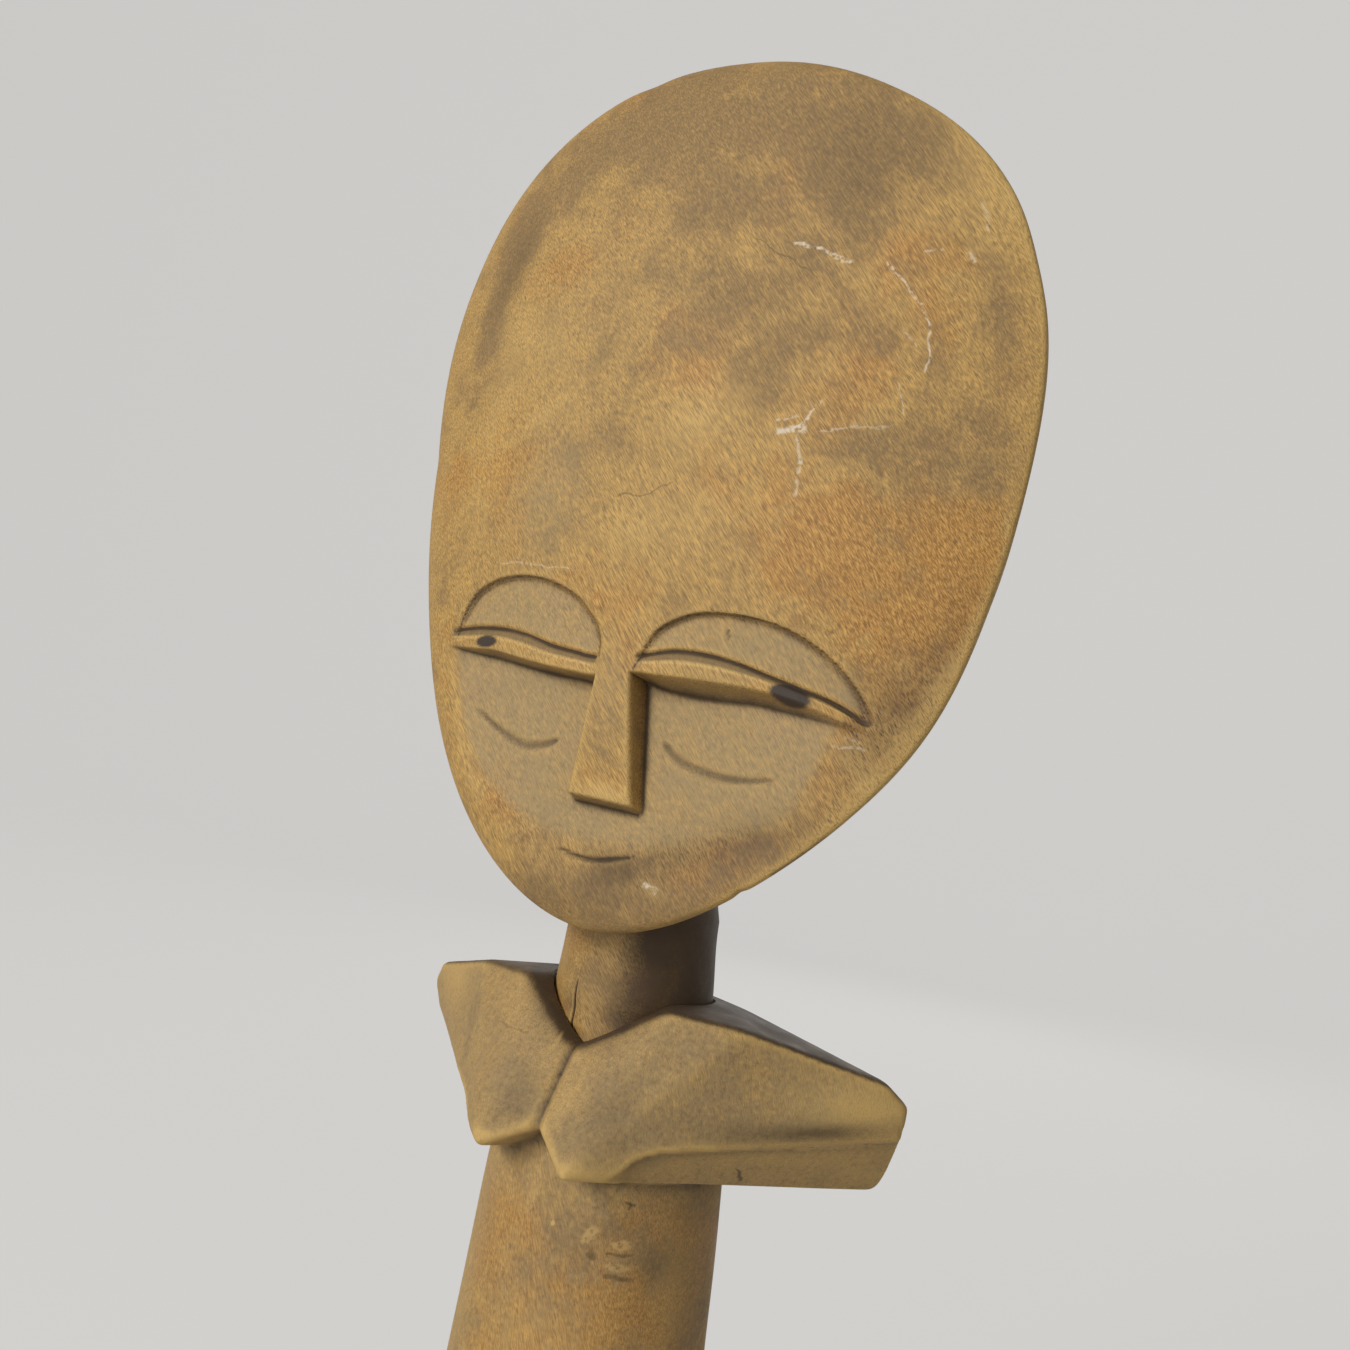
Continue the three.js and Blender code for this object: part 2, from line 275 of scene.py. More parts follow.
ATTRIBUTES = ("stain", "grey", "dark", "wear", "paint", "rub", "line")
FIBRE_SIZE = (0.0002, 0.0002, 0.0024)
STREAK_SIZE = (0.0012, 0.0012, 0.008)
CLOUDS_PER_METRE = 38.0
BLOTCHES_PER_METRE = 130.0
SPECKS_PER_METRE = 900.0
FIBRE_HEIGHT = 0.0003
LINE_REACH = 6.0


def worn_wood(name, fibre_turn, orange, hair, grain, marks=None):
    """The finish: leaning fibres that show by hair, a fine grain and a share of orange."""
    material = bpy.data.materials.new(name)
    maker = bare_tree(material)
    where = maker.node("ShaderNodeTexCoord", None, None, out=3)
    stain, grey, dark, wear, paint, rub, line = (attribute(maker, kind) for kind in ATTRIBUTES)

    fibre = noise(maker, turned(maker, where, fibre_turn, FIBRE_SIZE), 1.0, 2.0)
    streak = noise(maker, turned(maker, where, fibre_turn, STREAK_SIZE), 1.0, 3.0)
    cloud = noise(maker, where, CLOUDS_PER_METRE, 4.0)
    blotch = noise(maker, where, BLOTCHES_PER_METRE, 4.0, 0.6)
    speck = noise(maker, where, SPECKS_PER_METRE, 2.0)

    rubbed = (cloud + (blotch - 0.5) * 0.6 + rub * 0.4).ramp(0.62 - orange, 0.86 - orange)
    tone = blend(maker, rubbed, YELLOW_BROWN, ORANGE_BROWN)
    soaked = (stain + (cloud - 0.5) * -1.6 + (blotch - 0.5) * 2.2 + (streak - 0.5) * 0.8).ramp(-0.1, 0.8)
    tone = blend(maker, soaked * 0.9, tone, TAUPE)
    dusty = (grey * (blotch * 1.2 + cloud * 0.8 - 0.1)).at_most(0.9)
    tone = blend(maker, dusty, tone, GREY_DUST)
    pale_hair = fibre.ramp(0.45, 0.7)
    dark_hair = (1.0 - fibre).ramp(0.42, 0.74)
    hairy = (1.0 - grey * 0.5) * (1.0 - soaked * 0.6) * hair
    tone = blend(maker, pale_hair * hairy * (0.45 + streak * 0.6) * (1.0 - dark), tone, GOLDEN_HAIR)
    tone = blend(maker, speck.ramp(0.5, 0.72) * grain, tone, WORN_YELLOW)
    tone = blend(maker, (1.0 - speck).ramp(0.5, 0.72) * grain, tone, DARK_OIL_AND_SHADE)
    bare = (wear * (0.3 + blotch * 1.1)).at_most(0.85)
    tone = blend(maker, bare, tone, WORN_YELLOW)
    # the dark line along the carved brows, lid grooves and strokes: dirt, with painted shadow of the brow
    # steps
    drawn = (1.5 - line * LINE_REACH).ramp(0.0, 1.1) * (speck * 1.5 - 0.1)
    # dirt and dark fibres, together with the painted shade and shadow that the dark attribute carries
    oil_and_shade = dark * (0.45 + blotch * 1.1) + dark_hair * hairy * (0.75 - streak * 0.6) + drawn * 0.75
    oil_and_shade = oil_and_shade.at_most(0.95)
    tone = blend(maker, oil_and_shade, tone, DARK_OIL_AND_SHADE)
    if marks:
        tone = marks(maker, where, speck, tone)
    tone = blend(maker, paint, tone, PUPIL)

    relief = fibre * 0.7 + streak * 0.3 + speck * 0.1
    sockets = {"Strength": 0.45, "Distance": FIBRE_HEIGHT, "Height": relief}
    bump = maker.node("ShaderNodeBump", None, sockets)
    shader = maker.node("ShaderNodeBsdfPrincipled", None, {
        "Base Color": tone,
        "Roughness": 0.56 + soaked * 0.1 + dusty * 0.12 - rubbed * 0.06 + (fibre - 0.5) * 0.2,
        "IOR": 1.4,
        "Normal": bump,
    })
    maker.node("ShaderNodeOutputMaterial", None, {"Surface": shader}, out=None)
    return material


# %% [markdown]
# Old knocks and scrapes are single marks: chalky scuffs and hair cracks on the forehead, pale
# scars and dark nicks on the chest. Each is written down by the points that it runs through,
# x across and z up: from the chin for the head, and from the base for the body.

# %% Scuffs and cracks
# each mark is a width in mm, a strength, and the points that it runs through in mm
SCUFFS = [
    (0.7, 0.75, [(17.4, 146.2), (20.5, 146.6), (24.0, 145.7), (28.2, 143.9), (31.5, 143.3)]),
    (0.45, 0.65, [
        (38.3, 143.9), (42.8, 139.6), (47.0, 135.9), (49.4, 132.1), (50.6, 127.1), (50.3, 123.0),
    ]),
    (0.35, 0.35, [(44.8, 130.5), (48.5, 126.8)]),
    (0.35, 0.4, [(46.0, 119.4), (48.4, 113.6)]),
    (1.5, 0.9, [(24.0, 107.0), (29.4, 108.3)]),
    (0.75, 0.85, [(28.0, 108.6), (31.3, 114.0)]),
    (0.6, 0.6, [(23.1, 109.1), (27.2, 110.8)]),
    (0.75, 0.55, [(28.2, 106.4), (29.8, 101.9), (30.3, 94.8)]),
    (0.5, 0.4, [(32.9, 108.4), (45.9, 111.2)]),
    (0.5, 0.45, [(45.1, 147.2), (49.0, 147.2)]),
    (0.8, 0.55, [(53.7, 147.8), (55.0, 145.9)]),
    (0.6, 0.35, [(54.2, 158.0), (56.9, 151.9)]),
    (0.4, 0.3, [(-39.2, 72.5), (-16.2, 73.5)]),
    (1.5, 0.75, [(13.2, 12.3), (16.2, 11.2)]),
    (0.5, 0.35, [(46.9, 47.7), (53.4, 48.2)]),
    (0.4, 0.3, [(48.6, 49.1), (52.0, 49.2)]),
]
CRACKS = [
    (0.35, 0.4, [(9.7, 147.1), (15.6, 144.4), (24.3, 140.0)]),
    (0.35, 0.4, [(-9.1, 90.1), (-3.7, 90.6), (3.2, 94.1)]),
]
PALE_SCARS = [
    (2.2, 0.6, [(10.7, 146.0), (12.3, 149.6)]), (1.7, 0.6, [(15.6, 146.6), (19.0, 147.0)]),
    (1.9, 0.55, [(15.2, 142.0), (19.4, 142.3)]), (0.9, 1.0, [(3.5, 148.3), (4.1, 149.2)]),
    (0.9, 0.6, [(-6.9, 135.6), (-6.6, 137.2)]), (1.3, 0.5, [(-19.1, 131.0), (-18.7, 133.6)]),
    (2.0, 0.4, [(-2.9, 149.5), (-2.1, 154.0)]), (0.9, 0.6, [(0.5, 168.6), (9.2, 162.4)]),
    (0.9, 0.6, [(-2.5, 167.3), (-10.3, 163.6)]), (1.6, 0.4, [(1.4, 181.6), (2.4, 183.6)]),
    (1.2, 0.35, [(-4.4, 182.0), (-4.0, 186.2)]), (1.4, 0.5, [(38.0, 170.2), (57.0, 172.6)]),
]
DARK_NICKS = [
    (1.8, 0.45, [(11.8, 144.6), (13.2, 143.2)]), (0.6, 0.45, [(15.2, 144.9), (19.6, 145.0)]),
    (0.8, 0.5, [(15.2, 140.2), (19.8, 140.0)]), (0.5, 0.6, [(16.5, 155.4), (18.2, 155.0)]),
    (0.4, 0.5, [(17.3, 155.2), (17.0, 154.2)]), (0.5, 0.7, [(34.0, 164.6), (34.1, 161.6)]),
    (0.5, 0.25, [(-20.0, 184.7), (-11.0, 184.5)]),
]
kinds = {"scuffs": SCUFFS, "cracks": CRACKS, "scars": PALE_SCARS, "nicks": DARK_NICKS}
print("marks:", {kind: len(marks) for kind, marks in kinds.items()})

# %% [markdown]
# A Mapping node moves the coordinates to the middle of a mark and turns them along it, and the
# mark is what lies close to its axis. The marks go into the finish of the head and of the body;
# the peg has none.

# %% Three woods
WOBBLES_PER_METRE = 260.0
WOBBLE = (0.0024, 0.0024, 0.0024)
PLATE_FRONT = 0.002
CHEST_FRONT = 0.018


def along_mark(maker, where, start, end, width):
    """Coordinates that run from -1 to 1 along and across a mark between two points, in mm."""
    turn = math.atan2(end[1] - start[1], end[0] - start[0])
    sockets = {
        "Vector": where,
        "Location": ((start[0] + end[0]) / 2 * MM, 0.0, (start[1] + end[1]) / 2 * MM),
        "Rotation": (0.0, -turn, 0.0),
        "Scale": (math.dist(start, end) / 2 * MM, 1.0, width / 2 * MM),
    }
    return maker.node("ShaderNodeMapping", {"vector_type": "TEXTURE"}, sockets)


def bar(maker, where, start, end, width):
    """1 on a straight bar, fading out across and at its ends."""
    x, _, z = axes(maker, along_mark(maker, where, start, end, width))
    return (1.25 - x.size()).ramp(0.0, 0.4) * (1.6 - z.size()).ramp(0.0, 1.2)


def spot(maker, where, start, end, width):
    """1 on an oval, fading out at its edge."""
    along = along_mark(maker, where, start, end, width)
    length = maker.node("ShaderNodeVectorMath", {"operation": "LENGTH"}, {0: along}, out=1)
    return (1.35 - length).ramp(0.0, 0.6)


def shaken(maker, where):
    """Coordinates shaken by a fine noise, so that a mark on them has no straight edge."""
    sockets = {"Vector": where, "Scale": WOBBLES_PER_METRE, "Detail": 2.0}
    wobble = maker.node("ShaderNodeTexNoise", None, sockets, out=1)
    sockets = {0: wobble, 1: (0.5, 0.5, 0.5)}
    shift = maker.node("ShaderNodeVectorMath", {"operation": "SUBTRACT"}, sockets)
    sockets = {0: shift, 1: WOBBLE, 2: where}
    return maker.node("ShaderNodeVectorMath", {"operation": "MULTIPLY_ADD"}, sockets)


def before(maker, where, depth):
    """1 on the front, where the coordinates lie before a depth in metres."""
    return (depth - axes(maker, where)[1]).ramp(0.0, 0.002)


def marked(maker, where, marks, shape):
    """All the marks of one kind together."""
    total = 0.0
    for width, strength, points in marks:
        for start, end in zip(points, points[1:]):
            total = shape(maker, where, start, end, width) * strength + total
    return total


def marks_on_head(maker, where, speck, tone):
    sockets = {
        "Vector": where,
        "Location": tuple(c * MM for c in CHIN_AT),
        "Rotation": (-LEAN_BACK, LEAN_ASIDE, 0.0),
    }
    on_plate = shaken(maker, maker.node("ShaderNodeMapping", {"vector_type": "TEXTURE"}, sockets))
    in_front = before(maker, on_plate, PLATE_FRONT)
    chalk = speck.ramp(0.36, 0.58) * in_front
    scuffed = marked(maker, on_plate, SCUFFS, bar) * chalk
    tone = blend(maker, scuffed.at_most(0.9), tone, SCUFF)
    cracked = marked(maker, on_plate, CRACKS, bar) * in_front
    return blend(maker, cracked.at_most(0.5), tone, DARK_OIL_AND_SHADE)


def marks_on_body(maker, where, speck, tone):
    on_chest = shaken(maker, where)
    in_front = before(maker, where, CHEST_FRONT)
    chalk = speck.ramp(0.3, 0.5) * in_front
    scarred = marked(maker, on_chest, PALE_SCARS, spot) * chalk
    tone = blend(maker, scarred.at_most(0.9), tone, SCAR)
    nicked = marked(maker, on_chest, DARK_NICKS, bar) * in_front
    return blend(maker, nicked.at_most(0.8), tone, DARK_OIL_AND_SHADE)


FIBRE_ON_HEAD = math.radians(-40)
FIBRE_ON_BODY = math.radians(-24)
head_wood = worn_wood("head_wood", FIBRE_ON_HEAD, 0.12, 1.2, 0.16, marks_on_head)
body_wood = worn_wood("body_wood", FIBRE_ON_BODY, 0.1, 0.95, 0.24, marks_on_body)
peg_wood = worn_wood("peg_wood", 0.0, 0.05, 1.0, 0.15)
print("woods:", [wood.name for wood in (head_wood, body_wood, peg_wood)])

# %% [markdown]
# The head is a plate whose outline and thickness follow one rule: an egg outline, a face that
# crowns towards the middle, a rounded rim, and sides that bow back. Geometry Nodes suit a rule,
# because the sizes stay as named inputs. A flat sheet of points goes in and comes out as the
# front or the back face.

# %% The rule of the plate
def plate_tree():
    sizes = [
        "Height", "Width", "Egg", "Crown", "Rim Half", "Left Power", "Right Power", "Rim Forward",
        "Side Bow", "Side",
    ]
    maker, given = rule_tree("plate rule", sizes)
    x, _, z = axes(maker, maker.node("GeometryNodeInputPosition"))
    share = z / given["Height"]
    along = share * 2.0 - 1.0
    oval = (share * (1.0 - share)).at_least(1e-9).sqrt()
    half = given["Width"] * oval * (along * given["Egg"] + 1.0)
    across = x / half
    full = ((1.0 - along * along) * (1.0 - across * across)).at_least(0.0)
    out = x / (given["Width"] * 0.5)
    rightwards = out.ramp(-0.1, 0.7)
    power = given["Left Power"] + (given["Right Power"] - given["Left Power"]) * rightwards
    forward = given["Rim Forward"] * rightwards
    rounded = (1.0 - (1.0 - full) ** power).at_least(0.0).sqrt()
    rim = (given["Rim Half"] + given["Side"] * forward) * rounded
    y = given["Side Bow"] * out * out - forward + given["Side"] * (given["Crown"] * full + rim)
    place_by_rule(maker, given, x, y, z)
    return maker


def half_width(z):
    share = np.clip(z / HEAD_HEIGHT, 0.0, 1.0)
    return HEAD_WIDTH * np.sqrt(share * (1 - share)) * (1 + HEAD_EGG * (2 * share - 1))


def fullness(x, z):
    """1 in the middle of the plate and 0 on its rim."""
    share = np.clip(z / HEAD_HEIGHT, 1e-6, 1 - 1e-6)
    return np.clip((1 - (2 * share - 1) ** 2) * (1 - (x / half_width(share * HEAD_HEIGHT)) ** 2), 0, 1)


def grid_mesh(name, points, faces):
    mesh = bpy.data.meshes.new(name)
    mesh.from_pydata(points.tolist(), [], faces)
    mesh.update()
    return mesh


def coordinates(mesh, kind="co"):
    """The places of a mesh's points, or their normals where kind says so."""
    flat = np.empty(len(mesh.vertices) * 3, dtype=np.float32)
    mesh.vertices.foreach_get(kind, flat)
    return flat.reshape(-1, 3).astype(float)


PLATE_SIZES = {
    "Height": HEAD_HEIGHT * MM,
    "Width": HEAD_WIDTH * MM,
    "Egg": HEAD_EGG,
    "Rim Half": RIM_HALF * MM,
    "Rim Forward": RIM_FORWARD * MM,
    "Side Bow": SIDE_BOW * MM,
}
plate_rule = plate_tree()


def raised(x, z, crown, side, left_power, right_power):
    """The depth in mm of the plate's face over the points x, z."""
    points = np.stack([x.ravel(), np.zeros(x.size), z.ravel()], axis=1) * MM
    sheet = grid_mesh("sheet", points, [])
    sizes = dict(PLATE_SIZES, Crown=crown * MM, Side=side, Wood=head_wood)
    sizes.update({"Left Power": left_power, "Right Power": right_power})
    face = realised(plate_rule, sheet, sizes)
    return coordinates(face)[:, 1].reshape(x.shape) / MM


print("plate rule nodes:", len(plate_rule.tree.nodes))

# %% [markdown]
# The carving is fine, so the front sheet gets lines of points that follow it: columns run along
# the sides of the nose, and rows run along the eyelids. Points are crowded where the knife cut
# and spread over the plain forehead, which keeps the piece light. Each line below is a few
# points, x across and z up from the chin, joined by a smooth curve.

# %% Lines of the face
def smooth_line(points, steps=24):
    """Catmull-Rom points through a few given points."""
    given = np.array([points[0]] + list(points) + [points[-1]], dtype=float)
    t = np.linspace(0, 1, steps, endpoint=False)[:, None]
    runs = []
    for a, b, c, d in zip(given, given[1:], given[2:], given[3:]):
        bend = 2 * a - 5 * b + 4 * c - d
        twist = 3 * b - a - 3 * c + d
        runs.append(0.5 * (2 * b + (c - a) * t + bend * t ** 2 + twist * t ** 3))
    return np.concatenate(runs + [given[-1:]])


LID_GROOVE = smooth_line([
    (-49.5, 56.0), (-44.5, 57.1), (-39.7, 57.9), (-32.5, 58.4), (-25.7, 57.9), (-19, 56.7),
    (-12.5, 56.2), (-7, 56), (2.8, 57.7), (10.6, 59.9), (17.7, 60.4), (24.8, 59.8), (31.8, 58.5),
    (38.6, 57.2), (45.2, 55.9), (52, 53.4),
])
LEFT_BROW = smooth_line([
    (-47.1, 55.5), (-46, 60.5), (-43.8, 64.6), (-40.6, 67.4), (-36.4, 69.4), (-31, 70.6), (-25.2, 70.8),
    (-19.6, 69.9), (-14, 68), (-10.2, 65.2), (-7.5, 62.6), (-6, 59.4), (-5.6, 56.5),
])
RIGHT_BROW = smooth_line([
    (2.6, 54.9), (4.3, 59.4), (6.4, 63.6), (10.2, 66.5), (14.8, 68.5), (20.3, 69.4), (27.2, 69.5),
    (34, 68.5), (39.4, 66.6), (44.5, 63.8), (48.9, 60.1), (51.8, 56.4), (53.7, 52.5),
])
LID_EDGE = smooth_line([
    (-49.5, 52.9), (-42.1, 53.1), (-35, 53.7), (-28, 53.1), (-19, 52.4), (-12, 52.2), (-6, 52.3),
    (2.5, 54.3), (8.8, 54.8), (15.9, 55.4), (22.9, 55.6), (29.7, 55.7), (36, 55.2), (41.5, 54.4),
    (47.5, 53), (52.3, 52.3),
])
LID_FOOT = smooth_line([
    (-49.8, 52.3), (-43.4, 52), (-35.8, 51.7), (-28, 51.2), (-21, 50.8), (-13, 50.7), (-7, 50.8),
    (2.1, 52.6), (7.7, 51.8), (14.5, 51.4), (21.6, 51.7), (28.4, 52.2), (35.1, 52), (41.7, 51.7),
    (47.9, 51.4), (52.2, 51.6),
])
NOSE_BASE = 27.0
NOSE_TOP = 54.0
NOSE_WALL = 0.9
NOSE_SOLE = 1.7


def line_at(line, x):
    return np.interp(x, line[:, 0], line[:, 1])


def nose_edges(z):
    """The left and right edges of the nose, which widens towards its base."""
    down = np.clip((NOSE_TOP - z) / (NOSE_TOP - NOSE_BASE), 0.0, 1.0)
    room = np.clip(half_width(z) / 28.0, 0.0, 1.0)
    return (-6.1 - 1.6 * down) * room, (2.1 + 5.6 * down) * room, NOSE_WALL * room


FOOT_ROW = 51.5
EDGE_ROW = 54.0
GROOVE_ROW = 58.0
BROW_ROW = 75.0
ROW_KNOTS = [
    0.0, NOSE_BASE - NOSE_SOLE, NOSE_BASE, FOOT_ROW, EDGE_ROW, GROOVE_ROW, BROW_ROW, HEAD_HEIGHT,
]
ROW_COUNTS = [56, 8, 48, 9, 12, 38, 100]
COLUMN_COUNTS = [100, 6, 22, 6, 104]
END_CROWDING = 1.25


def nominal_rows():
    rows = []
    for i, count in enumerate(ROW_COUNTS):
        u = np.arange(1, count + 1) / count
        if i == 0:
            u = u ** END_CROWDING
        if i == len(ROW_COUNTS) - 1:
            u = 1 - (1 - u) ** END_CROWDING
        rows.extend(ROW_KNOTS[i] + (ROW_KNOTS[i + 1] - ROW_KNOTS[i]) * u)
    return np.array(rows[:-1])


def crowded(u):
    """Shares of a way, closer together towards its end."""
    return u + u ** 6 - u ** 7


def column_places(z):
    """x of every column at the heights z, one row of z for each row of points."""
    left, right, wall = nose_edges(z)
    half = half_width(z)
    knots = np.stack([-half, left - wall, left, right, right + wall, half])
    shares = [np.arange(count) / count for count in COLUMN_COUNTS]
    shares[0] = 1 - crowded(1 - shares[0])
    shares[-1] = crowded(shares[-1])
    part = np.repeat(np.arange(len(COLUMN_COUNTS)), COLUMN_COUNTS)
    column = np.arange(len(part))
    low = knots[part, :, column].T
    high = knots[part + 1, :, column].T
    x = low + (high - low) * np.concatenate(shares)
    return np.hstack([x, half[:, -1:]])


def front_sheet():
    """x and z of the front sheet, with its rows bent to follow the eyelids."""
    rows = nominal_rows()
    z = np.repeat(rows[:, None], sum(COLUMN_COUNTS) + 1, axis=1)
    x = column_places(z)
    inside = np.clip((half_width(z) - np.abs(x)) / 6.0, 0.0, 1.0)
    knots = ROW_KNOTS[2:7]
    for middle, line in ((FOOT_ROW, LID_FOOT), (EDGE_ROW, LID_EDGE), (GROOVE_ROW, LID_GROOVE)):
        hat = np.interp(rows, knots, [float(k == middle) for k in knots])
        z = z + hat[:, None] * (line_at(line, x) - middle) * inside
    return column_places(z), z


sheet_x, sheet_z = front_sheet()
print("front sheet:", sheet_x.shape, "points")

# %% [markdown]
# The knife work is a depth over that sheet. Below the eyes the wood is cut back to flat cheeks
# that leave the nose standing; each brow is a half-moon sloping up from the eyelid to its arch;
# a groove sets off the lid. Shallow strokes give the cheek lines and the mouth.

# %% Carve the face
# each stroke is a depth and a width in mm, a darkness, and the points that it runs through
STROKES = {
    "right cheek": (0.6, 0.85, 0.36, [
        (9.4, 41.6), (12.2, 39.3), (16.5, 37.6), (23.7, 36.8), (30, 37.3), (36.5, 38.9),
    ]),
    "left cheek": (0.6, 0.85, 0.36, [
        (-15.2, 37.4), (-18.8, 35.6), (-24.3, 34.6), (-31.5, 36.9), (-38.6, 40.4),
    ]),
    "mouth": (0.7, 0.38, 0.75, [(-9.2, 15.3), (-3.8, 14.4), (0.9, 14.6), (5.6, 15.9), (9.6, 17.2)]),
    "lid nick": (0.4, 0.26, 0.75, [(21.5, 66.4), (21.9, 65.0), (21.8, 63.6)]),
    "brow nick": (0.25, 0.28, 0.12, [(36.8, 70.4), (41.1, 68.9), (44.0, 70.2), (43.7, 72.2)]),
}
CHIN_CHIP = [(12.4, 12.7), (16.9, 10.7)]
CHIN_CHIP_DEPTH = 0.12
CHIN_CHIP_WIDTH = 0.8
# each eye begins between the first two x and ends between the last two
EYE_ENDS = [(-49.4, -47.6, -7.4, -5.8), (2.4, 4.0, 50.6, 52.8)]
CHEEK_HEIGHTS = [0, 8, NOSE_BASE, FOOT_ROW]
CHEEK_DEPTHS = [-5.6, -4.4, -2.2, -1.5]
OUTSIDE = -9.0


def step(low, high, value):
    """0 up to low, 1 from high on, and a smooth rise between."""
    share = np.clip((value - low) / (high - low), 0.0, 1.0)
    return share * share * (3 - 2 * share)


def between(value, low, full, last, high):
    """A smooth rise from low to full and a fall from last to high."""
    return step(low, full, value) * (1 - step(last, high, value))


def stroke_mask(x, z, points, width):
    """1 on a stroke and 0 a little way off it, thinning out to its ends."""
    line = smooth_line(points)
    low = line.min(axis=0) - 4 * width
    high = line.max(axis=0) + 4 * width
    near = (x > low[0]) & (x < high[0]) & (z > low[1]) & (z < high[1])
    mask = np.zeros(x.shape)
    if not near.any():
        return mask
    spot = np.stack([x[near], z[near]], axis=1)
    gaps = np.linalg.norm(spot[:, None, :] - line[None, :, :], axis=2)
    nearest = gaps.argmin(axis=1)
    along = nearest / (len(line) - 1)
    wide = width * (0.3 + 0.8 * np.sin(np.pi * np.clip(along, 0.0, 1.0) ** 0.8))
    fade = np.clip(10 * np.minimum(along, 1 - along), 0.0, 1.0)
    mask[near] = fade * np.exp(-(gaps.min(axis=1) / wide) ** 2)
    return mask


def brow_reach(x, z):
    """How far inside the arch of its brow a point lies, in mm, and less than 0 outside."""
    reach = np.full(x.shape, OUTSIDE)
    for brow in (LEFT_BROW, RIGHT_BROW):
        near = (x > brow[:, 0].min() - 4) & (x < brow[:, 0].max() + 4) & (z > 48) & (z < 76)
        spot = np.stack([x[near], z[near]], axis=1)
        gap = np.linalg.norm(spot[:, None, :] - brow[None, :, :], axis=2).min(axis=1)
        under = z[near] < np.interp(x[near], brow[:, 0], brow[:, 1], left=0.0, right=0.0)
        reach[near] = np.maximum(reach[near], np.where(under, gap, -gap))
    return reach


def eye_span(x):
    return sum(between(x, *ends) for ends in EYE_ENDS)


def nose_share(x, z):
    left, right, wall = nose_edges(z)
    wall = np.maximum(wall, 1e-3)
    beside = step(left - wall, left + 0.3 * wall, x) * (1 - step(right - 0.3 * wall, right + wall, x))
    return beside * step(NOSE_BASE - NOSE_SOLE, NOSE_BASE + 0.3, z)


def lid_share(x, z):
    return step(line_at(LID_FOOT, x), line_at(LID_EDGE, x) + 0.2, z)


def brow_depth(x, z):
    groove = line_at(LID_GROOVE, x)
    edge = line_at(LID_EDGE, x)
    top = np.where(x < 0, line_at(LEFT_BROW, x), line_at(RIGHT_BROW, x))
    up = np.clip((z - groove) / np.maximum(top - groove, 1.0), 0, 1)
    moon = step(-0.1, 0.8, brow_reach(x, z)) * (0.35 + 1.0 * up) * step(-0.3, 0.6, z - groove)
    ridge = np.clip((z - edge) / np.maximum(groove - edge, 0.5), 0, 1)
    facet = (0.1 + 0.9 * ridge ** 2) * (1 - step(-0.4, 0.4, z - groove)) * step(-0.3, 0.3, z - edge)
    cut = 0.8 * np.exp(-((z - groove) / 0.42) ** 2)
    return moon + (facet + cut) * eye_span(x)


def cheek_level(x, z):
    """The depth of the flat that is cut away under the eyes; it runs out at the sides."""
    return np.interp(z, CHEEK_HEIGHTS, CHEEK_DEPTHS) - 1.1 * step(36, 54, np.abs(x))


def soft_max(a, b, soft):
    return 0.5 * (a + b + np.sqrt((a - b) ** 2 + soft ** 2))


def hand_waves(x, z):
    """The low, uneven facets that a hand leaves on a surface, in mm."""
    waves = np.sin(x / 9.1 + z / 17.3 + 0.6) * np.sin(z / 13.7 - x / 29.0 + 1.9)
    return 0.16 * waves + 0.12 * np.sin(x / 21.0 - z / 15.1 + 2.2) * np.sin(z / 31.0 + 0.4)


def carved_front(x, z, plain):
    kept = plain + brow_depth(x, z)
    ends = between(x, -51.5, -45, 48.5, 55)
    cut = plain + (soft_max(plain, cheek_level(x, z), 1.2) - plain) * ends
    keep = np.maximum(nose_share(x, z), lid_share(x, z))
    y = cut + keep * (kept - cut)
    for depth, width, _, points in STROKES.values():
        y = y + depth * stroke_mask(x, z, points, width)
    y = y + CHIN_CHIP_DEPTH * stroke_mask(x, z, CHIN_CHIP, CHIN_CHIP_WIDTH)
    return y + hand_waves(x, z) * (0.35 + 0.65 * step(72, 84, z))


plain_front = raised(sheet_x, sheet_z, FRONT_CROWN, -1.0, RIM_SOFT, RIM_SHARP)
front_y = carved_front(sheet_x, sheet_z, plain_front)
print("deepest cut, mm:", round(float((front_y - plain_front).max()), 2))

# %% [markdown]
# The two faces are sewn along the rim by using the same rim points for both, so the plate is one
# closed skin. It is then leaned back and aside and set in front of the neck, as on the doll.

# %% Sew the plate
LEAN = np.array(Matrix.Rotation(LEAN_ASIDE, 3, "Y") @ Matrix.Rotation(-LEAN_BACK, 3, "X"))
BACK_COLUMNS = 36
BACK_WAVES = 1.6


def head_to_doll(points):
    return points @ LEAN.T + np.array(CHIN_AT)


def doll_to_head(points):
    return (points - np.array(CHIN_AT)) @ LEAN


# how far the rim lies outside an even egg, at angles round the plate's middle
OUTLINE_WAVES = [
    (-180, -3.1), (-150, -1.5), (-120, 1.1), (-95, 0.6), (-70, -0.2), (-36, 3.2), (-10, 0.4),
    (12, -0.9), (48, 0.8), (72, -1.1), (95, -0.4), (124, 2.2), (150, 0.5), (180, -3.1),
]
RIM_DENTS = [((-27.0, 182.0), 0.9, 4.0), ((33.5, 15.0), 0.4, 1.4), ((70.5, 150.0), 0.5, 9.0)]


def uneven(points):
    """The outline was cut by eye, so the rim waves in and out of the even egg."""
    x = points[:, 0]
    up = points[:, 2] - HEAD_HEIGHT / 2
    turns, waves = smooth_line(OUTLINE_WAVES).T
    wave = np.interp(np.degrees(np.arctan2(up, x)), turns, waves)
    grow = 1 + wave * (1 - fullness(x, points[:, 2])) ** 4 / np.maximum(np.hypot(x, up), RIM_HALF)
    points[:, 0] = x * grow
    points[:, 2] = HEAD_HEIGHT / 2 + up * grow
    return points


